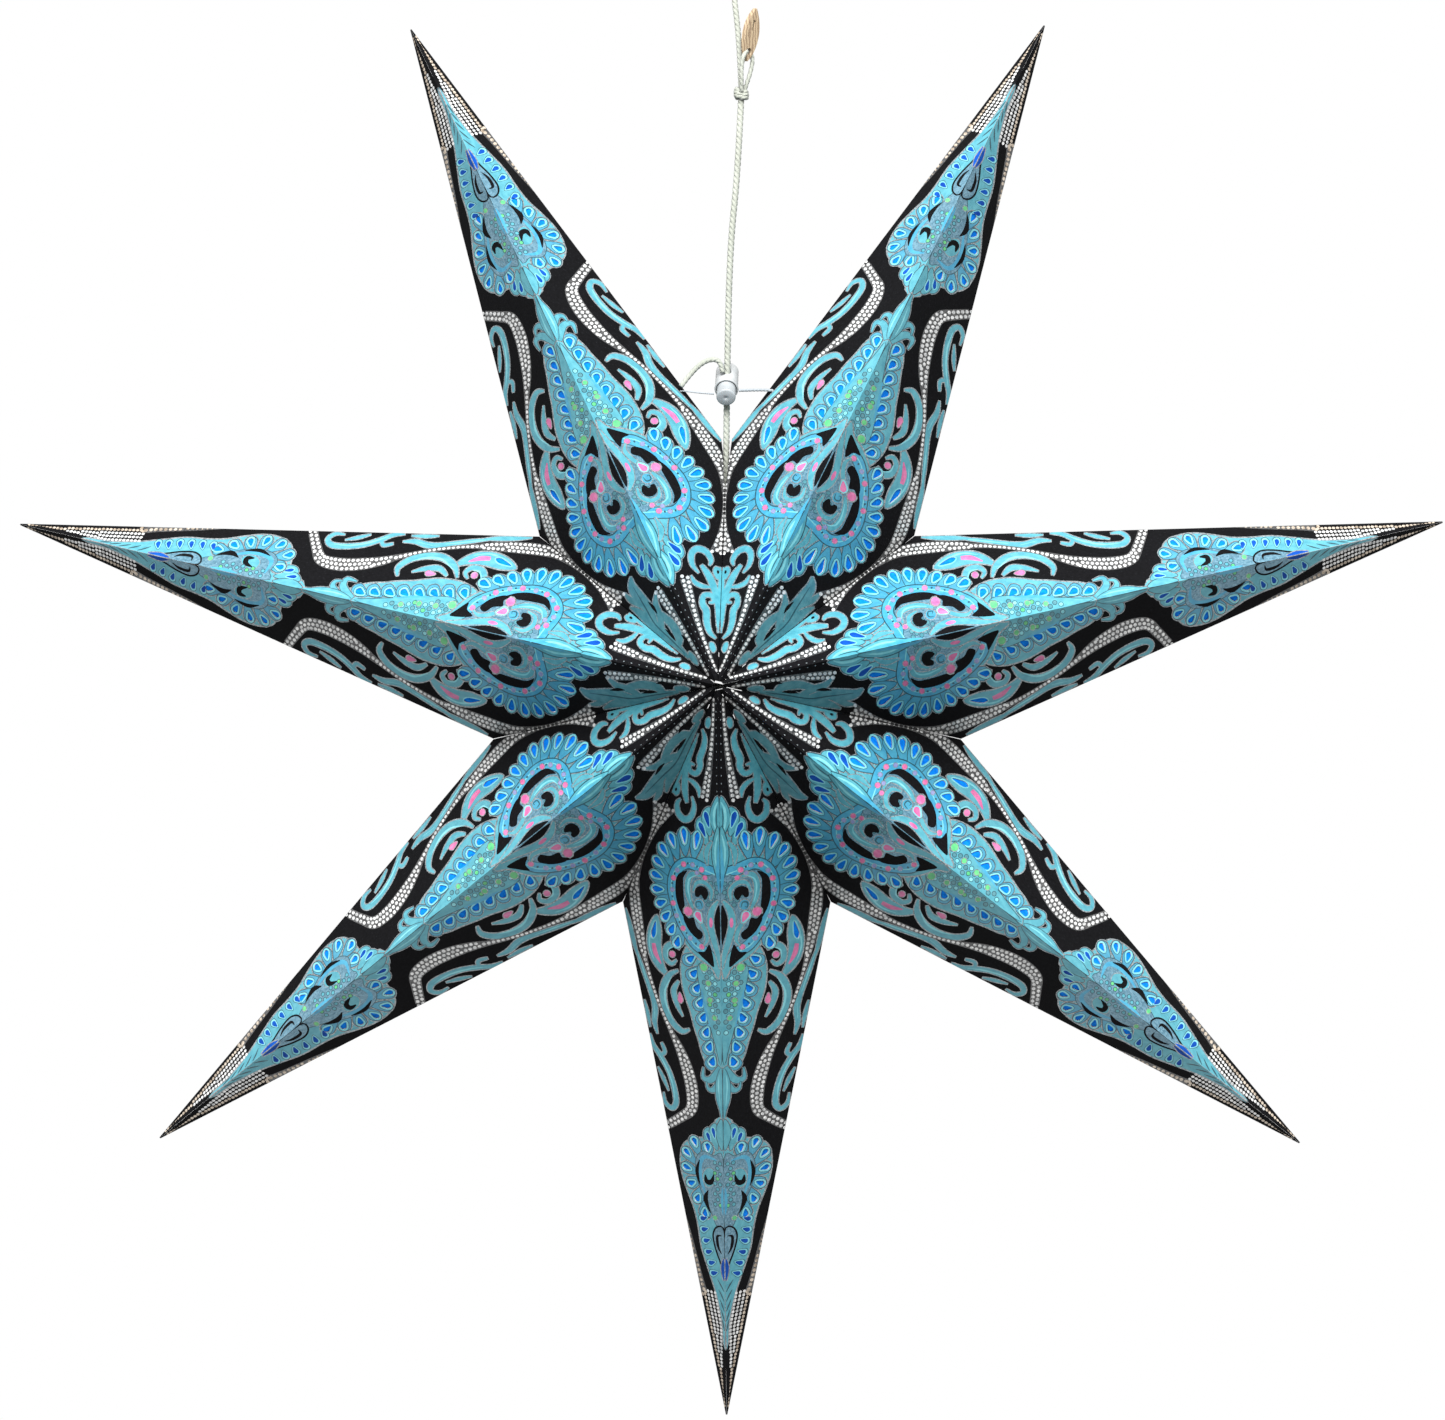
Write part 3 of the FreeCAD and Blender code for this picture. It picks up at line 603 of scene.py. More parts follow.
def second_motif(art):
    art.outlined("cyan", [(0, 178), (6, 182), (12, 184), (16.5, 187), (18.2, 193),
                          (17.6, 200), (15.2, 207), (12.4, 214), (10.8, 221), (9.4, 230),
                          (6.4, 239), (3.4, 248), (1.2, 258), (0, 267)], 0.6, "silver")
    fans = [
        blob([(0, 174), (1.8, 175.6), (2.6, 179), (2, 183), (0, 186)]),
        blob([(2.4, 176.4), (4.6, 176.8), (5.6, 180), (4.2, 184.6), (2, 186.4)]),
        blob([(5.2, 178.6), (7.6, 179.2), (8, 182.6), (6, 187), (3.8, 188)]),
    ]
    art.rimmed("cyan", fans[::-1], 0.5, line=0.28)
    for x, y, lean in ((3.7, 179.8, 0.2), (5.9, 182.2, 0.35)):
        art.rimmed("azure", [teardrop(x, y, 4.4, 1.5, (-lean, 1))], 0.4, "light")
    places = places_along([(6.5, 186.5), (10.5, 184.5), (15, 189), (15.6, 197), (12, 207),
                           (8, 214.5)], 7)
    petals(art, places, (7, 199), 8.4, 5.2, 3.7, 2.4)
    art.outlined("grey", [(0, 190), (4, 189.6), (8.6, 188.6), (11.4, 192.4), (11.4, 199),
                          (9.2, 206), (5.8, 212), (2.8, 219), (0, 221)], 0.3)
    art.line("ring", [(2.6, 191.2), (7.6, 190.6), (9.9, 194.4), (9.6, 200.4), (7.4, 206.6)],
             [0.6, 1.6, 1.9, 1.6, 0.5])
    art.outlined("cyan", [(3.2, 196.4), (6.4, 195.2), (8.6, 198.6), (7.2, 203), (4.4, 201.8)], 0.3,
                 "silver")
    art.line("black", [(3.9, 197.2), (4.9, 200.6), (7, 200.9), (7.6, 198.2)], [0.3, 2, 2.1, 0.5])
    art.line("black", [(10, 192.4), (11.2, 197.6), (9.8, 203.4)], [0.3, 1.6, 0.3])
    art.line("black", [(6.4, 204.6), (7.6, 208.6), (5.6, 214)], [0.3, 2.1, 0.3])
    for row in range(9):
        for k in range(3):
            x, y = 1.2 + 2.2 * k + 1.1 * (row % 2), 192.2 + 2.2 * row
            if x < 4.6 - 0.12 * row:
                art.paint("deep", ellipse(x, y, 2, 1.9, sides=8))
                art.paint("green" if (row + k) % 5 == 3 else "cyan", ellipse(x, y, 1.4, 1.3, sides=8))
    art.patch("ring", [(0, 202), (0.9, 205.4), (0.9, 210), (0, 213.4)])
    art.dot("green", 3.6, 215.6, 0.9, 0.3)
    for x, y in ((8.6, 217), (8.2, 221.6), (7.4, 226.2), (6.5, 230.8), (5.3, 235.2), (4.3, 239.4)):
        art.paint("deep", teardrop(x, y, 5, 3.6, (-1, -0.5)))
        art.paint("light", teardrop(x, y, 4.4, 3, (-1, -0.5)))
        art.paint("azure", teardrop(x - 0.1, y, 3.2, 2, (-1, -0.5)))
    art.outlined("grey", [(0, 220.6), (2.6, 219.6), (4.2, 223), (3.4, 228), (1.6, 233),
                          (0, 236)], 0.7, "black")
    art.line("black", [(0.9, 222.6), (2.7, 223.4), (2.4, 227.6), (1, 230.4)], [0.3, 1.1, 1.1, 0.3])
    art.outlined("azure", [(0, 232.2), (1.2, 235.6), (0.9, 239), (0, 241.4)], 0.4, "silver")
    for k in range(5):
        y = 243.4 + 4.2 * k
        art.line("deep", [(0.1, y + 3), (1.4 - 0.2 * k, y + 0.6), (2.9 - 0.5 * k, y - 1.6)],
                 [0.3, 0.6, 0.2])


def tip_beads(art):
    """Rows of beads down the side edge, closing over the whole tip."""
    art.rope([(16.9, 217.6), (14.6, 227), (12.7, 236), (11.2, 243.4), (9.6, 249)],
             [0.8, 1.9, 2.9, 3.9, 4.4], "bronze")
    y = 248.0
    while y < 297.0:
        edge = 42.52 * (300.0 - y) / 211.7 - 0.9
        ridge = max(0.9, 3.2 - (y - 248) * 0.17)
        across = max(1, round((edge - ridge) / 1.45))
        for k in range(across):
            x = ridge + (edge - ridge) * (k + 0.5) / across
            name = "bronze" if y > 280.0 or k == across - 1 else "bead"
            art.bead(name, x, y, (-0.2, 1), 1.45, min(1.15, (edge - ridge) / across * 0.86))
        y += 1.55


def inner_scroll(art):
    art.rimmed("cyan", [
        blob([(3.2, 12.4), (4.6, 13), (4.9, 15.4), (3.8, 16.4), (2.9, 14.6)]),
        stroke([(6.3, 17), (5.3, 20.2), (5.9, 24.2), (7.5, 28.4), (7.4, 31.6), (9.2, 34.4), (11.8, 33.2),
                (11.6, 30.6), (9.8, 31)], [0.6, 1.6, 2.2, 2.4, 2.1, 1.9, 1.7, 1.3, 0.6]),
        stroke([(8.8, 20.8), (10.8, 25), (12.6, 29.6), (13.8, 35), (14, 41), (13.2, 46)],
               [0.6, 1.6, 2, 2.4, 2.4, 1.2]),
        stroke([(11, 43.6), (10.2, 47.6), (11.6, 51.6), (14.4, 52.8), (17, 50.4), (17.4, 46.6),
                (16, 44.8)], [0.5, 1.6, 2.2, 2.4, 2.2, 1.7, 0.7]),
        stroke([(13, 36.4), (10.2, 38), (8.2, 40.6), (8, 43.6)], [0.6, 1.5, 1.5, 0.4]),
        stroke([(8, 18.6), (11.6, 26.6), (15.6, 34.4), (19.4, 42.4)], [0.2, 1.1, 1.3, 0.4]),
        blob([(16.4, 38.4), (18.4, 39), (19.2, 41.6), (17.8, 43.4), (16.2, 41.8)]),
    ], 0.42)
    art.paint("black", ellipse(17.8, 41, 1.5, 0.9, (0.3, 1)))
    art.paint("black", ellipse(9.5, 32.6, 1.4, 0.7, (1, 0.2)))
    art.paint("black", ellipse(14.3, 49.6, 2.6, 2.2, (0, 1)))


# The inner scroll as it looks in shade: its silhouette filled with the darker teal, which is painted
# shade, for the panels turned away from the light.
def shaded_inner_scroll(art):
    art.rimmed("teal", [
        blob([(3.4, 10.6), (4.9, 12.4), (5.4, 15.6), (4.2, 16.6), (3, 13.6)]),
        stroke([(5.6, 14.6), (7.6, 20), (10.4, 26.6), (13.4, 33.4), (16.4, 40), (19, 43.6)],
               [1, 2.2, 3.4, 4, 2.6, 0.6]),
        stroke([(7.4, 20.4), (5.8, 23.4), (6, 29), (7.6, 33.4), (9, 37)], [1.6, 3, 3, 2.4, 0.5]),
        stroke([(10.6, 30), (9.2, 34.6), (8.8, 39.4), (6.2, 44)], [2, 2.6, 2.4, 0.4]),
        stroke([(12.4, 33), (12.4, 39.6), (14, 45.6), (14.6, 50.4), (13.4, 54)],
               [2.6, 4, 4.6, 3.4, 0.7]),
        stroke([(14.4, 42), (17.4, 46), (18.8, 49.6)], [2, 2.2, 0.5]),
    ], 0.5)
    for points, widths in (
            ([(3.4, 18.6), (3.6, 21.4), (4.4, 24)], [0.2, 1.3, 0.2]),
            ([(7.6, 23), (8.2, 26), (9.4, 29)], [0.2, 1.3, 0.2]),
            ([(9.8, 36), (10.2, 39), (11.2, 42)], [0.2, 1.3, 0.2])):
        art.line("black", points, widths)
    art.line("deep", [(6.4, 17), (9, 24), (12.4, 32.6), (13.2, 40), (14.2, 50)],
             [0.2, 0.5, 0.5, 0.5, 0.2])


def highlight(art):
    """Paler cores along the larger scrolls, where the ink is thickest."""
    for points, width in (
            ([(27.4, 95.6), (30, 100.6), (30.6, 106), (28.6, 111.8)], 0.6),
            ([(19.4, 104.8), (22.4, 106.6), (22.6, 109.8)], 0.6),
            ([(21, 117.6), (24, 123.6), (23.5, 129.6), (20.8, 135.4)], 0.8),
            ([(36, 109.6), (33.4, 117), (30.6, 125)], 0.5),
            ([(28.8, 129.6), (29, 136)], 0.7),
            ([(28.6, 149.2), (24.6, 155.2), (21.4, 162.8), (20.6, 169.6)], 0.6),
            ([(1, 155), (1.4, 160), (0.8, 168)], 0.5)):
        art.line("light", points, [0.15] + [width] * (len(points) - 2) + [0.15])


def make_art(inner):
    art = Art()
    art.rope([(1.5, 5.5), (1.9, 15), (2.7, 24), (4, 34), (5.6, 43.6)],
             [1, 1.2, 1.8, 2.7, 3.8])
    inner(art)
    border_scroll(art)
    side_flame(art)
    body(art)
    big_heart(art)
    highlight(art)
    outer_rope(art)
    second_motif(art)
    tip_beads(art)
    for k in range(12):
        art.paint("silver", ellipse(0.55, 7.0 + 3.1 * k, 0.7, 0.35, sides=6))
    return art


# ---- Flat arrangement of the shapes ---------------------------------------------------------------
def inside(points, outline):
    """Which points lie inside an outline, by winding number."""
    o = np.array(outline)
    x, y = points[:, 0][:, None], points[:, 1][:, None]
    ax, ay = o[:, 0], o[:, 1]
    bx, by = np.roll(ax, -1), np.roll(ay, -1)
    side = (bx - ax) * (y - ay) - (x - ax) * (by - ay)
    up = (ay <= y) & (by > y) & (side > 0)
    down = (ay > y) & (by <= y) & (side < 0)
    return (up.sum(1) - down.sum(1)) != 0


def arrange(outline, shapes, windows):
    """Triangles of the outline less its windows, each with the number of the topmost shape over it."""
    places, edges = [], []
    for shape in [outline] + [s for _, s in shapes] + list(windows):
        start = len(places)
        places += [Vector(p) for p in shape]
        edges += [(start + i, start + (i + 1) % len(shape)) for i in range(len(shape))]
    result = delaunay_2d_cdt(places, edges, [], 0, 1e-4, False)
    verts = np.array([tuple(v) for v in result[0]])
    tris = np.array([t for t in result[2] if len(t) == 3], int)
    middles = verts[tris].mean(1)
    keep = inside(middles, outline)
    for window in windows:
        near = (np.abs(middles - np.mean(window, 0)).max(1) < 12.0) & keep
        index = np.nonzero(near)[0]
        keep[index[inside(middles[index], window)]] = False
    tris, middles = tris[keep], middles[keep]
    top = np.full(len(tris), INK_NAMES.index("black"))
    for name, shape in shapes:
        low, high = np.min(shape, 0), np.max(shape, 0)
        index = np.nonzero(((middles >= low) & (middles <= high)).all(1))[0]
        if len(index):
            top[index[inside(middles[index], shape)]] = INK_NAMES.index(name)
    a, b, c = verts[tris[:, 0]], verts[tris[:, 1]], verts[tris[:, 2]]
    turn = (b[:, 0] - a[:, 0]) * (c[:, 1] - a[:, 1]) - (b[:, 1] - a[:, 1]) * (c[:, 0] - a[:, 0])
    tris[turn < 0] = tris[turn < 0][:, ::-1]
    return verts, tris, top


def boundary(tris):
    """Edges with a triangle on one side only, in that triangle's direction."""
    seen = {}
    for a, b, c in tris:
        for edge in ((a, b), (b, c), (c, a)):
            seen[edge] = True
    return [edge for edge in seen if (edge[1], edge[0]) not in seen]


def bead_mesh(beads):
    """Low domes standing on the ink, as (x, y, height), triangles and inks."""
    verts, tris, inks = [], [], []
    for name, x, y, towards, length, width in beads:
        size = math.hypot(*towards)
        towards = (towards[0] / size, towards[1] / size)
        first = len(verts)
        for share, height in ((1.0, 0.0), (0.70, BEAD_SHOULDER)):
            verts += [(px, py, height) for px, py in
                      ellipse(x, y, length * share, width * share, towards, BEAD_SIDES)]
        verts.append((x, y, BEAD_TOP))
        upper = first + BEAD_SIDES
        for k in range(BEAD_SIDES):
            n = (k + 1) % BEAD_SIDES
            tris += [(first + k, first + n, upper + n), (first + k, upper + n, upper + k),
                     (upper + k, upper + n, upper + BEAD_SIDES)]
            inks += [INK_NAMES.index(name)] * 3
    return np.array(verts), np.array(tris, int), np.array(inks, int)


# ---- Panels ---------------------------------------------------------------------------------------
def line_in(start, end, gap):
    d = Vector(end) - Vector(start)
    d.normalize()
    return Vector(start) + Vector((-d.y, d.x)) * gap, d


def meet(first, second):
    (p, d), (q, e) = first, second
    run = ((q.x - p.x) * e.y - (q.y - p.y) * e.x) / (d.x * e.y - d.y * e.x)
    return p + d * run


def step(start, towards, distance):
    return start + (towards - start).normalized() * distance


def around(radius, angle):
    return CENTRE + Vector((-radius * math.sin(angle), 0.0, radius * math.cos(angle)))


class Panel:
    """One triangle of the star in the frame: its centre corner, tip and inner corner."""

    def __init__(self, side, tip_angle, valley_angle):
        self.apex = CENTRE + Vector((0.0, -HALF_DEPTH * side, 0.0))
        tip, corner = around(TIP_RADIUS, tip_angle), around(VALLEY_RADIUS, valley_angle)
        self.along = (tip - self.apex).normalized()
        self.length = (tip - self.apex).length
        to_corner = corner - self.apex
        self.across = (to_corner - self.along * to_corner.dot(self.along)).normalized()
        self.corner = Vector((to_corner.dot(self.along), to_corner.dot(self.across)))
        normal = self.along.cross(self.across)
        self.flipped = normal.dot(self.apex - CENTRE) < 0
        self.outward = -normal if self.flipped else normal

    def outline(self, ridge_gap, at_seam):
        """The card's corners on the pattern."""
        centre, tip, corner = Vector((0.0, 0.0)), Vector((self.length, 0.0)), self.corner
        ridge, side = line_in(centre, tip, ridge_gap), line_in(tip, corner, CREASE_GAP)
        valley = line_in(corner, centre, VALLEY_GAP)
        at_tip, at_corner, at_centre = meet(ridge, side), meet(side, valley), meet(valley, ridge)
        made = [step(at_centre, at_tip, CENTRE_CUT), step(at_tip, at_centre, TIP_CUT),
                step(at_tip, at_corner, TIP_CUT)]
        if at_seam:
            made += [step(at_corner, made[2], SEAM_PART / math.sin(math.radians(60))),
                     step(at_corner, at_centre, SEAM_PART_LENGTH)]
        else:
            made.append(at_corner)
        made.append(step(at_centre, at_corner, CENTRE_CUT))
        return [self.pattern(c) for c in made]

    def pattern(self, uv):
        share = uv[1] / self.corner.y
        along = (uv[0] - self.corner.x * share) / self.length
        return (PATTERN_CORNER[0] * share, PATTERN_TIP * along + PATTERN_CORNER[1] * share)

    def place(self, flat, lift):
        """Rows of (x, y) on the pattern, placed in metres at a lift above the inner face."""
        flat = np.asarray(flat, float)
        share = flat[:, 0] / PATTERN_CORNER[0]
        along = (flat[:, 1] - share * PATTERN_CORNER[1]) / PATTERN_TIP
        u = along * self.length + share * self.corner.x
        v = share * self.corner.y
        lift = np.broadcast_to(np.asarray(lift, float), u.shape)
        made = (np.array(self.apex)[None] + u[:, None] * np.array(self.along)
                + v[:, None] * np.array(self.across) + lift[:, None] * np.array(self.outward))
        return made * MM


def build_mesh(name, verts, tris, inks, materials):
    mesh = bpy.data.meshes.new(name)
    mesh.vertices.add(len(verts))
    mesh.vertices.foreach_set("co", np.asarray(verts, np.float32).ravel())
    mesh.loops.add(len(tris) * 3)
    mesh.loops.foreach_set("vertex_index", np.asarray(tris, np.int32).ravel())
    mesh.polygons.add(len(tris))
    mesh.polygons.foreach_set("loop_start", np.arange(0, len(tris) * 3, 3, dtype=np.int32))
    for material in materials:
        mesh.materials.append(material)
    mesh.polygons.foreach_set("material_index", np.asarray(inks, np.int32))
    mesh.update(calc_edges=True)
    mesh.validate()
    return add_object(name, mesh)


def card_faces(panel, at_seam, art, ridge_gap):
    """The flat outer face with its inks, the plain inner face, and the two outlines."""
    edge = panel.outline(ridge_gap, at_seam)
    face_edge = panel.outline(ridge_gap - CREASE_GAP - RIDGE_MITRE, at_seam)
    return (arrange(face_edge, art.shapes, art.windows), arrange(edge, [], art.windows),
            edge, face_edge)


def card_piece(name, panel, faces_and_edges, beads):
    """One card panel: printed face, windows' cut walls, outline's walls, inner face and beads."""
    (fine, tris, top), (coarse, under, _), edge, face_edge = faces_and_edges
    cut, black, paper = (INK_NAMES.index(n) for n in ("cut", "black", "paper"))
    low = len(fine)
    high = low + len(coarse)
    rim = high + len(coarse)
    corners = len(edge)
    walls, wall_inks = [], []
    for a, b in boundary(under):
        off_rim = min(abs(cross_distance(coarse[a], coarse[b], p, q))
                      for p, q in zip(edge, edge[1:] + edge[:1]))
        if off_rim >= RIM_NEARNESS:
            walls += [(low + a, low + b, high + b), (low + a, high + b, high + a)]
            wall_inks += [cut] * 2
    for a in range(corners):
        b = (a + 1) % corners
        walls += [(rim + a, rim + b, rim + corners + b),
                  (rim + a, rim + corners + b, rim + corners + a)]
        wall_inks += [black] * 2
    bead_flat, bead_tris, bead_inks = beads
    verts = np.concatenate([
        panel.place(fine, CARD), panel.place(coarse, 0.0), panel.place(coarse, CARD),
        panel.place(edge, 0.0), panel.place(face_edge, CARD),
        panel.place(bead_flat[:, :2], CARD + bead_flat[:, 2])])
    on_card = (inside(bead_flat[bead_tris[:, 0]][:, :2], edge)
               & inside(bead_flat[bead_tris[:, 1]][:, :2], edge))
    faces = np.concatenate([tris, under[:, ::-1] + low, np.array(walls, int),
                            bead_tris[on_card] + rim + 2 * corners])
    if panel.flipped:
        faces = faces[:, ::-1]
    inks = np.concatenate([top, np.full(len(under), paper), np.array(wall_inks), bead_inks[on_card]])
    return build_mesh(name, verts, faces, inks, [INKS[n] for n in INK_NAMES])


def make_star():
    arts = {"scroll": make_art(inner_scroll), "leaf": make_art(shaded_inner_scroll)}
    beads = {kind: bead_mesh(art.beads) for kind, art in arts.items()}
    # Panels turned away from the light get the 'leaf' art, whose inner ornament is the same scroll
    # painted as a darker teal silhouette, which is painted shade; the panels listed here get the scroll
    # in the main blue.
    scrolls = {"point_1_left", "point_2_left", "point_3_left", "point_4_left", "point_4_right",
               "point_5_right", "point_6_right", "point_7_right"}
    flats = {}
    for i in range(7):
        point = "point_%d" % (7 - i)
        for hand, valley_angle in (("right", ALPHA * 2 * i), ("left", ALPHA * (2 * i + 2))):
            at_seam = (i == 0 and hand == "right") or (i == 6 and hand == "left")
            kind = "scroll" if "%s_%s" % (point, hand) in scrolls else "leaf"
            for side, face in ((1, "front"), (-1, "back")):
                panel = Panel(side, ALPHA * (2 * i + 1), valley_angle)
                key = (kind, side, at_seam)
                if key not in flats:
                    ridge_gap = CREASE_GAP if side == 1 else OPEN_RIDGE_GAP
                    flats[key] = card_faces(panel, at_seam, arts[kind], ridge_gap)
                name = "%s_%s_%s" % (point, face, hand)
                piece = card_piece("card_" + name, panel, flats[key], beads[kind])
                ride_as(piece, name, "printed_card", name)
                if side == -1:
                    ride_as(tissue(panel, "tissue_" + name), name, "tissue")
                else:
                    paint(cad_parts[name + "_tissue"], TISSUE)


def cross_distance(a, b, p, q):
    """How far the middle of a-b lies from the line through p and q."""
    mx, my = (a[0] + b[0]) / 2, (a[1] + b[1]) / 2
    dx, dy = q[0] - p[0], q[1] - p[1]
    return ((mx - p[0]) * dy - (my - p[1]) * dx) / math.hypot(dx, dy)


TISSUE_LIFTS = (-0.01, -0.08)       # mm: the sheet's two faces, behind the card's inner face


def tissue(panel, name):
    """The tissue sheet behind a back panel's windows."""
    corners = [panel.pattern(c) for c in (
        (18.0, 6.0), (panel.length - 30.0, 6.0), (panel.corner.x + 10.0, panel.corner.y - 12.0))]
    verts = np.concatenate([panel.place(corners, lift) for lift in TISSUE_LIFTS])
    faces = np.array([(0, 1, 2), (5, 4, 3), (0, 3, 4), (0, 4, 1), (1, 4, 5), (1, 5, 2), (2, 5, 3),
                      (2, 3, 0)])
    return build_mesh(name, verts, faces, np.zeros(len(faces)), [TISSUE])


def paint(node, material):
    node.data.materials.clear()
    node.data.materials.append(material)


# ---- Cords ----------------------------------------------------------------------------------------
def metres(x, y, height):
    """A place given by its height above the star's centre, in mm."""
    return (x * MM, y * MM, (height - HANG_DROP) * MM)


def nurbs_line(points):
    """The smooth line of a route, as points read from its NURBS spline."""
    data = bpy.data.curves.new("route", "CURVE")
    data.dimensions = "3D"
    spline = data.splines.new("NURBS")
    spline.points.add(len(points) - 1)
    for place, point in zip(points, spline.points):
        point.co = (*place, 1.0)
    spline.order_u = 3
    spline.use_endpoint_u = True
    spline.resolution_u = 24
    holder = add_object("route", data)
    mesh = bpy.data.meshes.new_from_object(holder)
    line = [Vector(v.co) for v in mesh.vertices]
    bpy.data.objects.remove(holder)
    return line


def solid_piece(name, verts, faces, material):
    mesh = bpy.data.meshes.new(name)
    mesh.from_pydata(verts, [], faces)
    mesh.materials.append(material)
    mesh.shade_smooth()
    return add_object(name, mesh)


def rope_tube(name, line, diameter, strands, pitch, material):
    """A twisted cord along a line: a lobed section that turns once every pitch."""
    sides = strands * 6
    up = Vector((0.0, 1.0, 0.0))
    verts, faces = [], []
    lengths = [0.0]
    for a, b in zip(line, line[1:]):
        lengths.append(lengths[-1] + (b - a).length)
    count = max(8, int(lengths[-1] / (pitch / 10)))
    k = 0
    for i in range(count + 1):
        target = lengths[-1] * i / count
        while k < len(line) - 2 and lengths[k + 1] < target:
            k += 1
        t = (target - lengths[k]) / ((lengths[k + 1] - lengths[k]) or 1.0)
        place = line[k].lerp(line[k + 1], t)
        ahead = (line[min(k + 2, len(line) - 1)] - line[max(k - 1, 0)]).normalized()
        side = ahead.cross(up).normalized()
        up = side.cross(ahead).normalized()
        turn = 2 * math.pi * target / pitch
        for s in range(sides):
            a = 2 * math.pi * s / sides
            lobe = 0.80 + 0.20 * abs(math.cos(strands * a / 2))
            r = diameter / 2 * lobe
            verts.append(tuple(place + (side * math.cos(a + turn) + up * math.sin(a + turn)) * r))
    for i in range(count):
        for s in range(sides):
            n = (s + 1) % sides
            a, b = i * sides, (i + 1) * sides
            faces.append((a + s, a + n, b + n, b + s))
    faces.append(tuple(range(sides - 1, -1, -1)))
    faces.append(tuple(count * sides + s for s in range(sides)))
    return solid_piece(name, verts, faces, material)


def knot_piece(name, centre, axis, radius, wire, material):
    """A tight knot: three tilted turns of the cord that cross one another, pulled into a ball."""
    centre, axis = Vector(centre), Vector(axis).normalized()
    side = axis.cross(Vector((0.0, 1.0, 0.0))).normalized()
    front = side.cross(axis).normalized()
    line = []
    for i in range(73):
        a = 2 * math.pi * i / 24
        height = (i / 72 - 0.5) * 1.25
        ring = (radius - wire / 2) * math.sqrt(max(0.2, 1 - (height * 0.9) ** 2))
        line.append(centre + (side * math.cos(a) + front * math.sin(a)) * ring
                    + axis * (height * radius * 0.85 + 0.22 * radius * math.sin(a + 0.6)))
    return rope_tube(name, line, wire, 3, 0.006, material)


# The cords' lengths are in metres, and the knots' sizes in mm.
KNOT = 2.4                  # half the length of a knot
KNOT_RADIUS, KNOT_WIRE = 3.3, 2.1
LOWER = [metres(-0.3, 0, 85.0), metres(0.2, 0, 133.0), metres(1.4, 0, 181.0), metres(4.6, 0, 211.0),
         metres(5.9, 0, 240.5)]


def towards(a, b):
    return (Vector(b) - Vector(a)).normalized()


def make_cords():
    root = "point_7_front_right"
    down = towards(LOWER[1], LOWER[0])
    stopper = Vector(LOWER[0]) + down * KNOT * MM
    enter = towards(LOWER[-2], LOWER[-1])
    tie_centre = Vector(LOWER[-1]) + enter * KNOT * MM
    leave = towards(tie_centre, metres(5.4, 0, 262.0))
    upper = [tuple(tie_centre + leave * KNOT * MM), metres(5.4, 0, 262.0), metres(3.2, 0, 282.0),
             metres(1.6, 0, 296.0)]
    top = towards(upper[-2], upper[-1])
    loop_centre = Vector(upper[-1]) + top * KNOT * MM
    foot = loop_centre + top * KNOT * MM
    spread, crown = Vector((1.3 * MM, 0.0, 0.0)), -10.75
    left = [tuple(foot - spread)] + [(x * MM, 0.0, (crown + z) * MM) for x, z in
                                     ((-8.64, -6.0), (-11.16, 5.04), (-5.04, 12.0))]
    right = [(-x, y, z) for x, y, z in left[:0:-1]]
    loop = left + right + [tuple(foot + spread)]

    knots = {}
    for name, centre, axis in (("stopper_knot", stopper, down), ("adjuster_knot", tie_centre, leave),
                               ("loop_knot", loop_centre, top)):
        knots[name] = knot_piece("twist_" + name, centre, axis, KNOT_RADIUS * MM, KNOT_WIRE * MM,
                                 COTTON)
        ride_as(knots[name], root, "cotton_cord", name)
    for name, points, diameter, exit_place, ends, end in (
            ("hanging_cord_lower", LOWER, 2.8, LOWER[0], ["adjuster_knot", "stopper_knot"], "knot"),
            ("hanging_cord_upper", upper, 2.5, upper[0], ["loop_knot"], "knot"),
            ("hang_loop", loop, 2.5, loop[0], [], "object")):
        line = nurbs_line(points)
        piece = rope_tube("rope_" + name, line, diameter * MM, 3, 7.0 * MM, COTTON)
        ride_as(piece, root, "cotton_cord", name)


make_cords()


# ---- Tie strings, lock and adjuster ---------------------------------------------------------------
TIE_HOLE_ALONG, TIE_HOLE_IN = 30.0, 3.4     # mm from the inner corner along the side, and in from it
LOCK_HEIGHT = 123.5                         # mm above the star's centre
LOCK_TILT = math.radians(37.0)              # the button points this far below straight ahead


def at(x, y, height):
    """A place in mm, given by its height above the star's centre."""
    return Vector((x, y, height - HANG_DROP))


def tie_hole(panel, lift):
    """Place in mm of the tie string's hole in a seam panel."""
    tip = Vector((panel.length, 0.0))
    on_crease = step(panel.corner, tip, TIE_HOLE_ALONG)
    d = (panel.corner - tip).normalized()
    uv = on_crease + Vector((-d.y, d.x)) * TIE_HOLE_IN
    return panel.apex + panel.along * uv.x + panel.across * uv.y + panel.outward * lift


def line_of(points):
    return nurbs_line([tuple(Vector(p) * MM) for p in points])


def ring_piece(name, centre, axis, profile, material, sides=48):
    """A turned part: a closed profile of (radius, height along the axis) swept round it."""
    side = Vector((1.0, 0.0, 0.0))
    other = axis.cross(side)
    verts, faces = [], []
    for s in range(sides):
        a = 2 * math.pi * s / sides
        for radius, height in profile:
            place = centre + axis * height + (side * math.cos(a) + other * math.sin(a)) * radius
            verts.append(tuple(place * MM))
    n = len(profile)
    for s in range(sides):
        t = (s + 1) % sides
        for k in range(n):
            m = (k + 1) % n
            faces.append((s * n + k, s * n + m, t * n + m, t * n + k))
    return solid_piece(name, verts, faces, material)


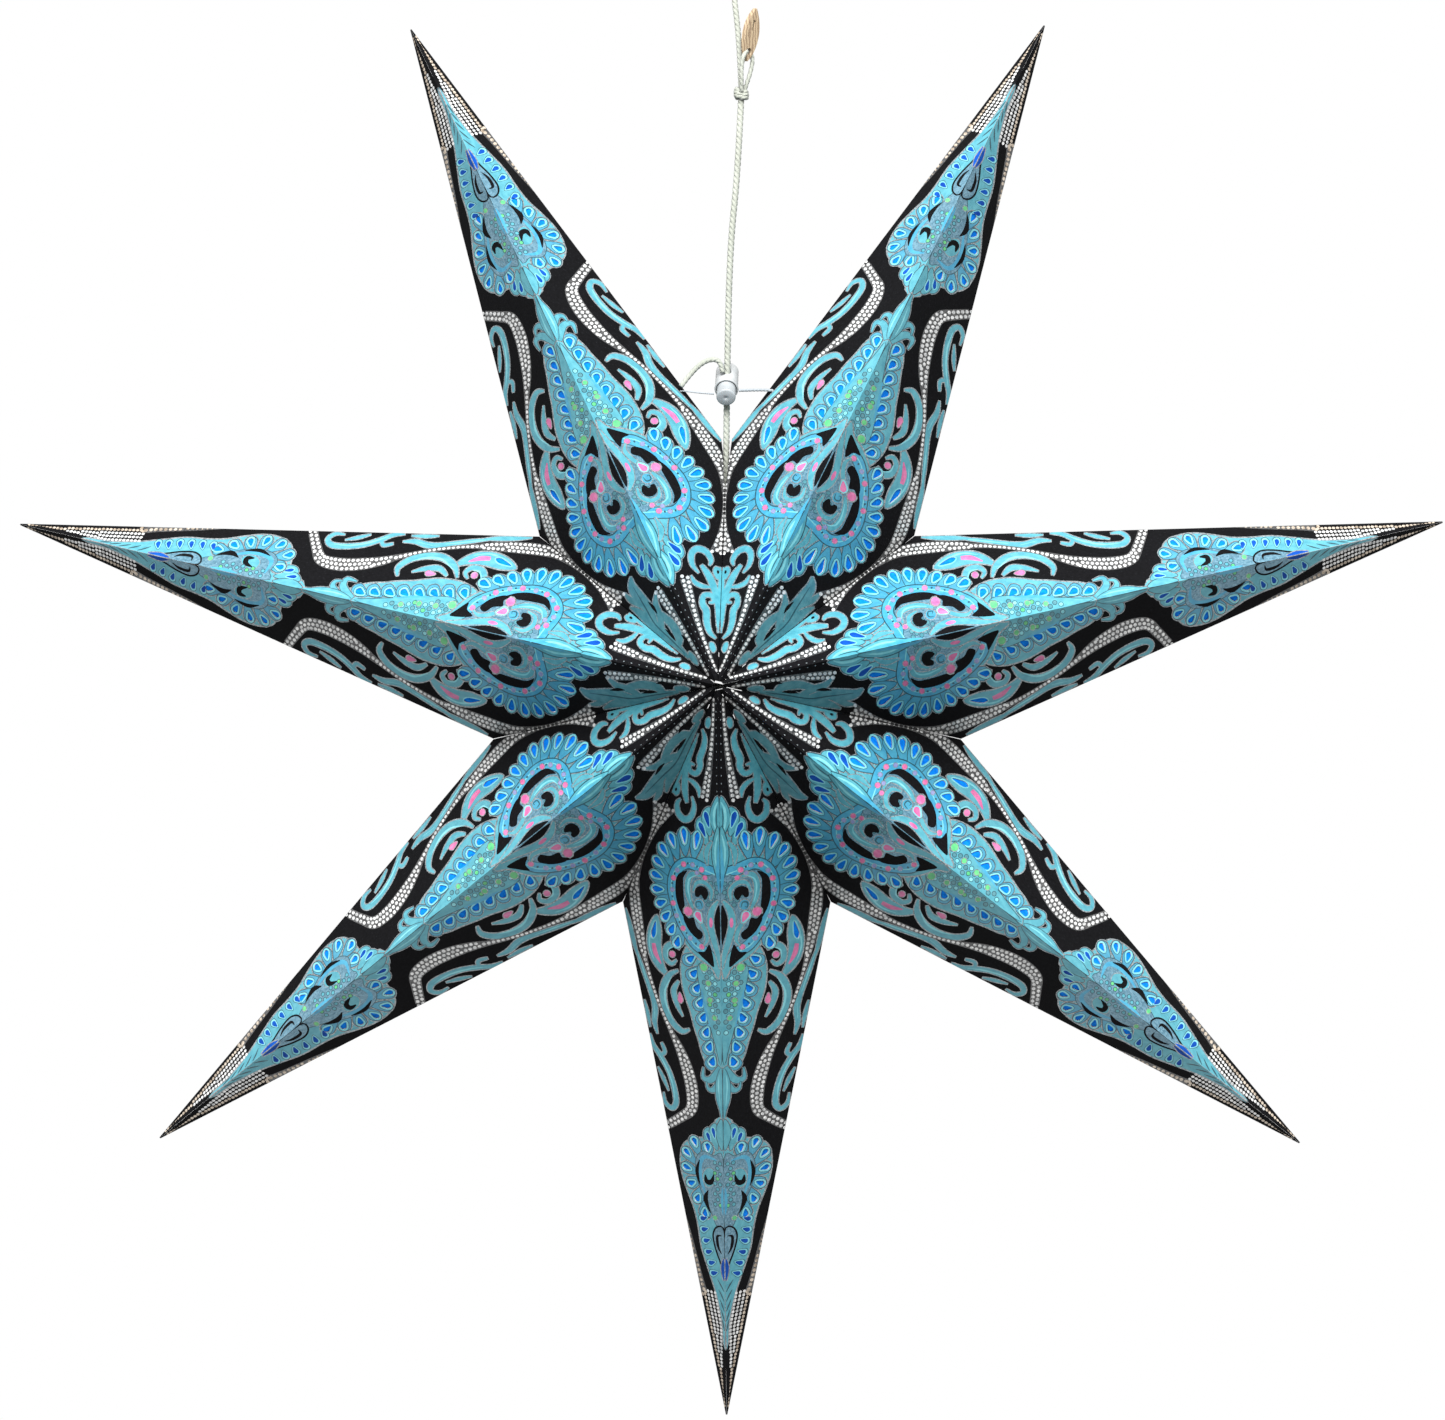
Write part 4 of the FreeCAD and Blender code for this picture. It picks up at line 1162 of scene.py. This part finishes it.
def make_tie_strings(left_wall, right_wall):
    """On the left one thin thread and on the right a twisted one, each knotted behind its hole."""
    sides = (("left", left_wall, "point_7_front_right"), ("right", right_wall, "point_1_front_left"))
    runs = (([(-11.0, -0.4, 120.0), (-5.1, 0.0, 119.6)], 0.7, 1.6),
            ([(11.0, -0.3, 121.2), (5.1, 0.0, 121.0)], 1.3, 3.0))
    for (hand, wall, body), (run, diameter, pitch) in zip(sides, runs):
        hole = tie_hole(wall, 0.5)
        route = [tie_hole(wall, -0.9), hole] + [at(x, hole.y + y, height) for x, y, height in run]
        thread = rope_tube("thread_tie_" + hand, line_of(route), diameter * MM, 2, pitch * MM, THREAD)
        ride_as(thread, body, "tie_string", "tie_string_" + hand)
    for hand, wall, body in sides:
        knot = knot_piece("twist_tie_knot_" + hand, tie_hole(wall, -1.45) * MM, wall.outward,
                          1.1 * MM, 0.8 * MM, THREAD)
        ride_as(knot, body, "tie_string", "tie_knot_" + hand)


def make_lock(left_wall):
    """The arched string, the barrel's rim, the button's rounded end, and the spring behind it."""
    hole = tie_hole(left_wall, 0.55)
    arch = [at(-18.6, hole.y - 1.6, hole.z + HANG_DROP + 1.4), at(-14.2, -4.0, 128.6),
            at(-8.6, -3.6, 133.4), at(-3.4, -3.0, 133.9), at(-1.9, -2.9, 130.6), at(-1.6, -2.6, 128.4)]
    string = rope_tube("thread_lock_arch", line_of(arch), 2.2 * MM, 3, 6.0 * MM, COTTON)
    ride_as(string, "cord_lock", "tie_string", "lock_loop_string")
    axis = Vector((0.0, -math.cos(LOCK_TILT), -math.sin(LOCK_TILT)))
    middle = at(0.0, 0.0, LOCK_HEIGHT)
    rim = ring_piece("lock_rim", middle + axis * 2.9, axis, [
        (4.35, 0.0), (4.75, -0.5), (4.95, -0.1), (4.85, 0.45), (4.45, 0.6), (4.12, 0.3), (4.1, -0.3)],
        LOCK_PLASTIC)
    ride_as(rim, "cord_lock", "lock_plastic")
    cap = ring_piece("button_cap", middle + axis * 9.2, axis, [
        (3.88, -0.9), (3.95, -0.2), (3.8, 0.25), (3.2, 0.5), (1.6, 0.62), (0.02, 0.66), (0.02, -0.9)],
        BUTTON_PLASTIC)
    ride_as(cap, "lock_button", "button_plastic")
    # the coil spring behind the button; the real one flattens as the button is pressed
    foot = middle - axis * 8.5
    side = Vector((1.0, 0.0, 0.0))
    other = axis.cross(side)
    coil = []
    for k in range(97):
        turn = math.pi * k / 12
        coil.append((foot + axis * (3.6 * k / 96)
                     + (side * math.cos(turn) + other * math.sin(turn)) * 3.4) * MM)
    spring = rope_tube("coil_spring", coil, 0.5 * MM, 2, 0.03, STEEL)
    ride_as(spring, "cord_lock", "spring_steel", "lock_spring")
    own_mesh(spring)


def make_adjuster_strands():
    """The two strands of cord through the leaf's hole."""
    strands = [
        [at(6.2, -2.6, 243.4), at(6.3, -4.4, 247.6), at(6.2, -5.6, 253.0), at(7.2, -6.4, 258.4),
         at(8.6, -5.2, 259.7)],
        [at(7.0, -0.6, 243.4), at(8.7, -1.2, 248.0), at(10.2, -1.0, 253.2), at(10.9, -1.4, 257.6),
         at(9.9, -2.5, 259.4)],
    ]
    pieces = [rope_tube("twist_adjuster_%d" % k, line_of(strand), 1.9 * MM, 2, 5.0 * MM, COTTON)
              for k, strand in enumerate(strands)]
    for piece in pieces:
        ride_as(piece, "wooden_adjuster", "cotton_cord", "adjuster_tie")


def make_hardware():
    left_wall, right_wall = Panel(1, ALPHA, 0.0), Panel(1, -ALPHA, 0.0)
    make_tie_strings(left_wall, right_wall)
    make_lock(left_wall)
    for node, material in (("lock_barrel", LOCK_PLASTIC), ("lock_button", BUTTON_PLASTIC),
                           ("wooden_adjuster", WOOD)):
        paint(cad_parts[node], material)
    make_adjuster_strands()


make_hardware()
make_star()


# ---- Floor and light ------------------------------------------------------------------------------
LAMP_AIM = Vector((0.0, 0.0, -0.33))       # metres


def make_stage():
    size, height = 4.0, -1.50
    mesh = bpy.data.meshes.new("floor")
    mesh.from_pydata([(-size, -size, height), (size, -size, height), (size, size, height),
                      (-size, size, height)], [], [(0, 1, 2, 3)])
    floor = add_object("floor", mesh)
    material, nodes, links, shader, where = new_material("floor_pale", 0.9, 0.0, 0.1)
    cloud = add_noise(nodes, links, where, 400.0)
    tint = add_ramp(nodes, links, cloud, [(0.3, (1.06, 1.06, 1.06)), (0.7, (1.14, 1.14, 1.14))])
    links.new(tint, shader.inputs["Base Color"])
    mesh.materials.append(material)

    world = bpy.data.worlds.new("studio")
    bpy.context.scene.world = world
    world.use_nodes = True
    background = world.node_tree.nodes["Background"]
    background.inputs["Color"].default_value = (1.0, 1.0, 1.0, 1.0)
    background.inputs["Strength"].default_value = 1.0

    for name, place, width, power in (
            ("key", (0.0, -1.05, 0.62), 1.2, 104.0),
            ("fill", (0.0, -2.2, 0.1), 1.6, 3.0)):
        data = bpy.data.lights.new(name, "AREA")
        data.shape = "DISK"
        data.size = width
        data.energy = power
        light = add_object(name, data)
        light.location = place
        light.rotation_euler = (LAMP_AIM - Vector(place)).to_track_quat("-Z", "Y").to_euler()
    bpy.context.scene.view_settings.view_transform = "Standard"


make_stage()
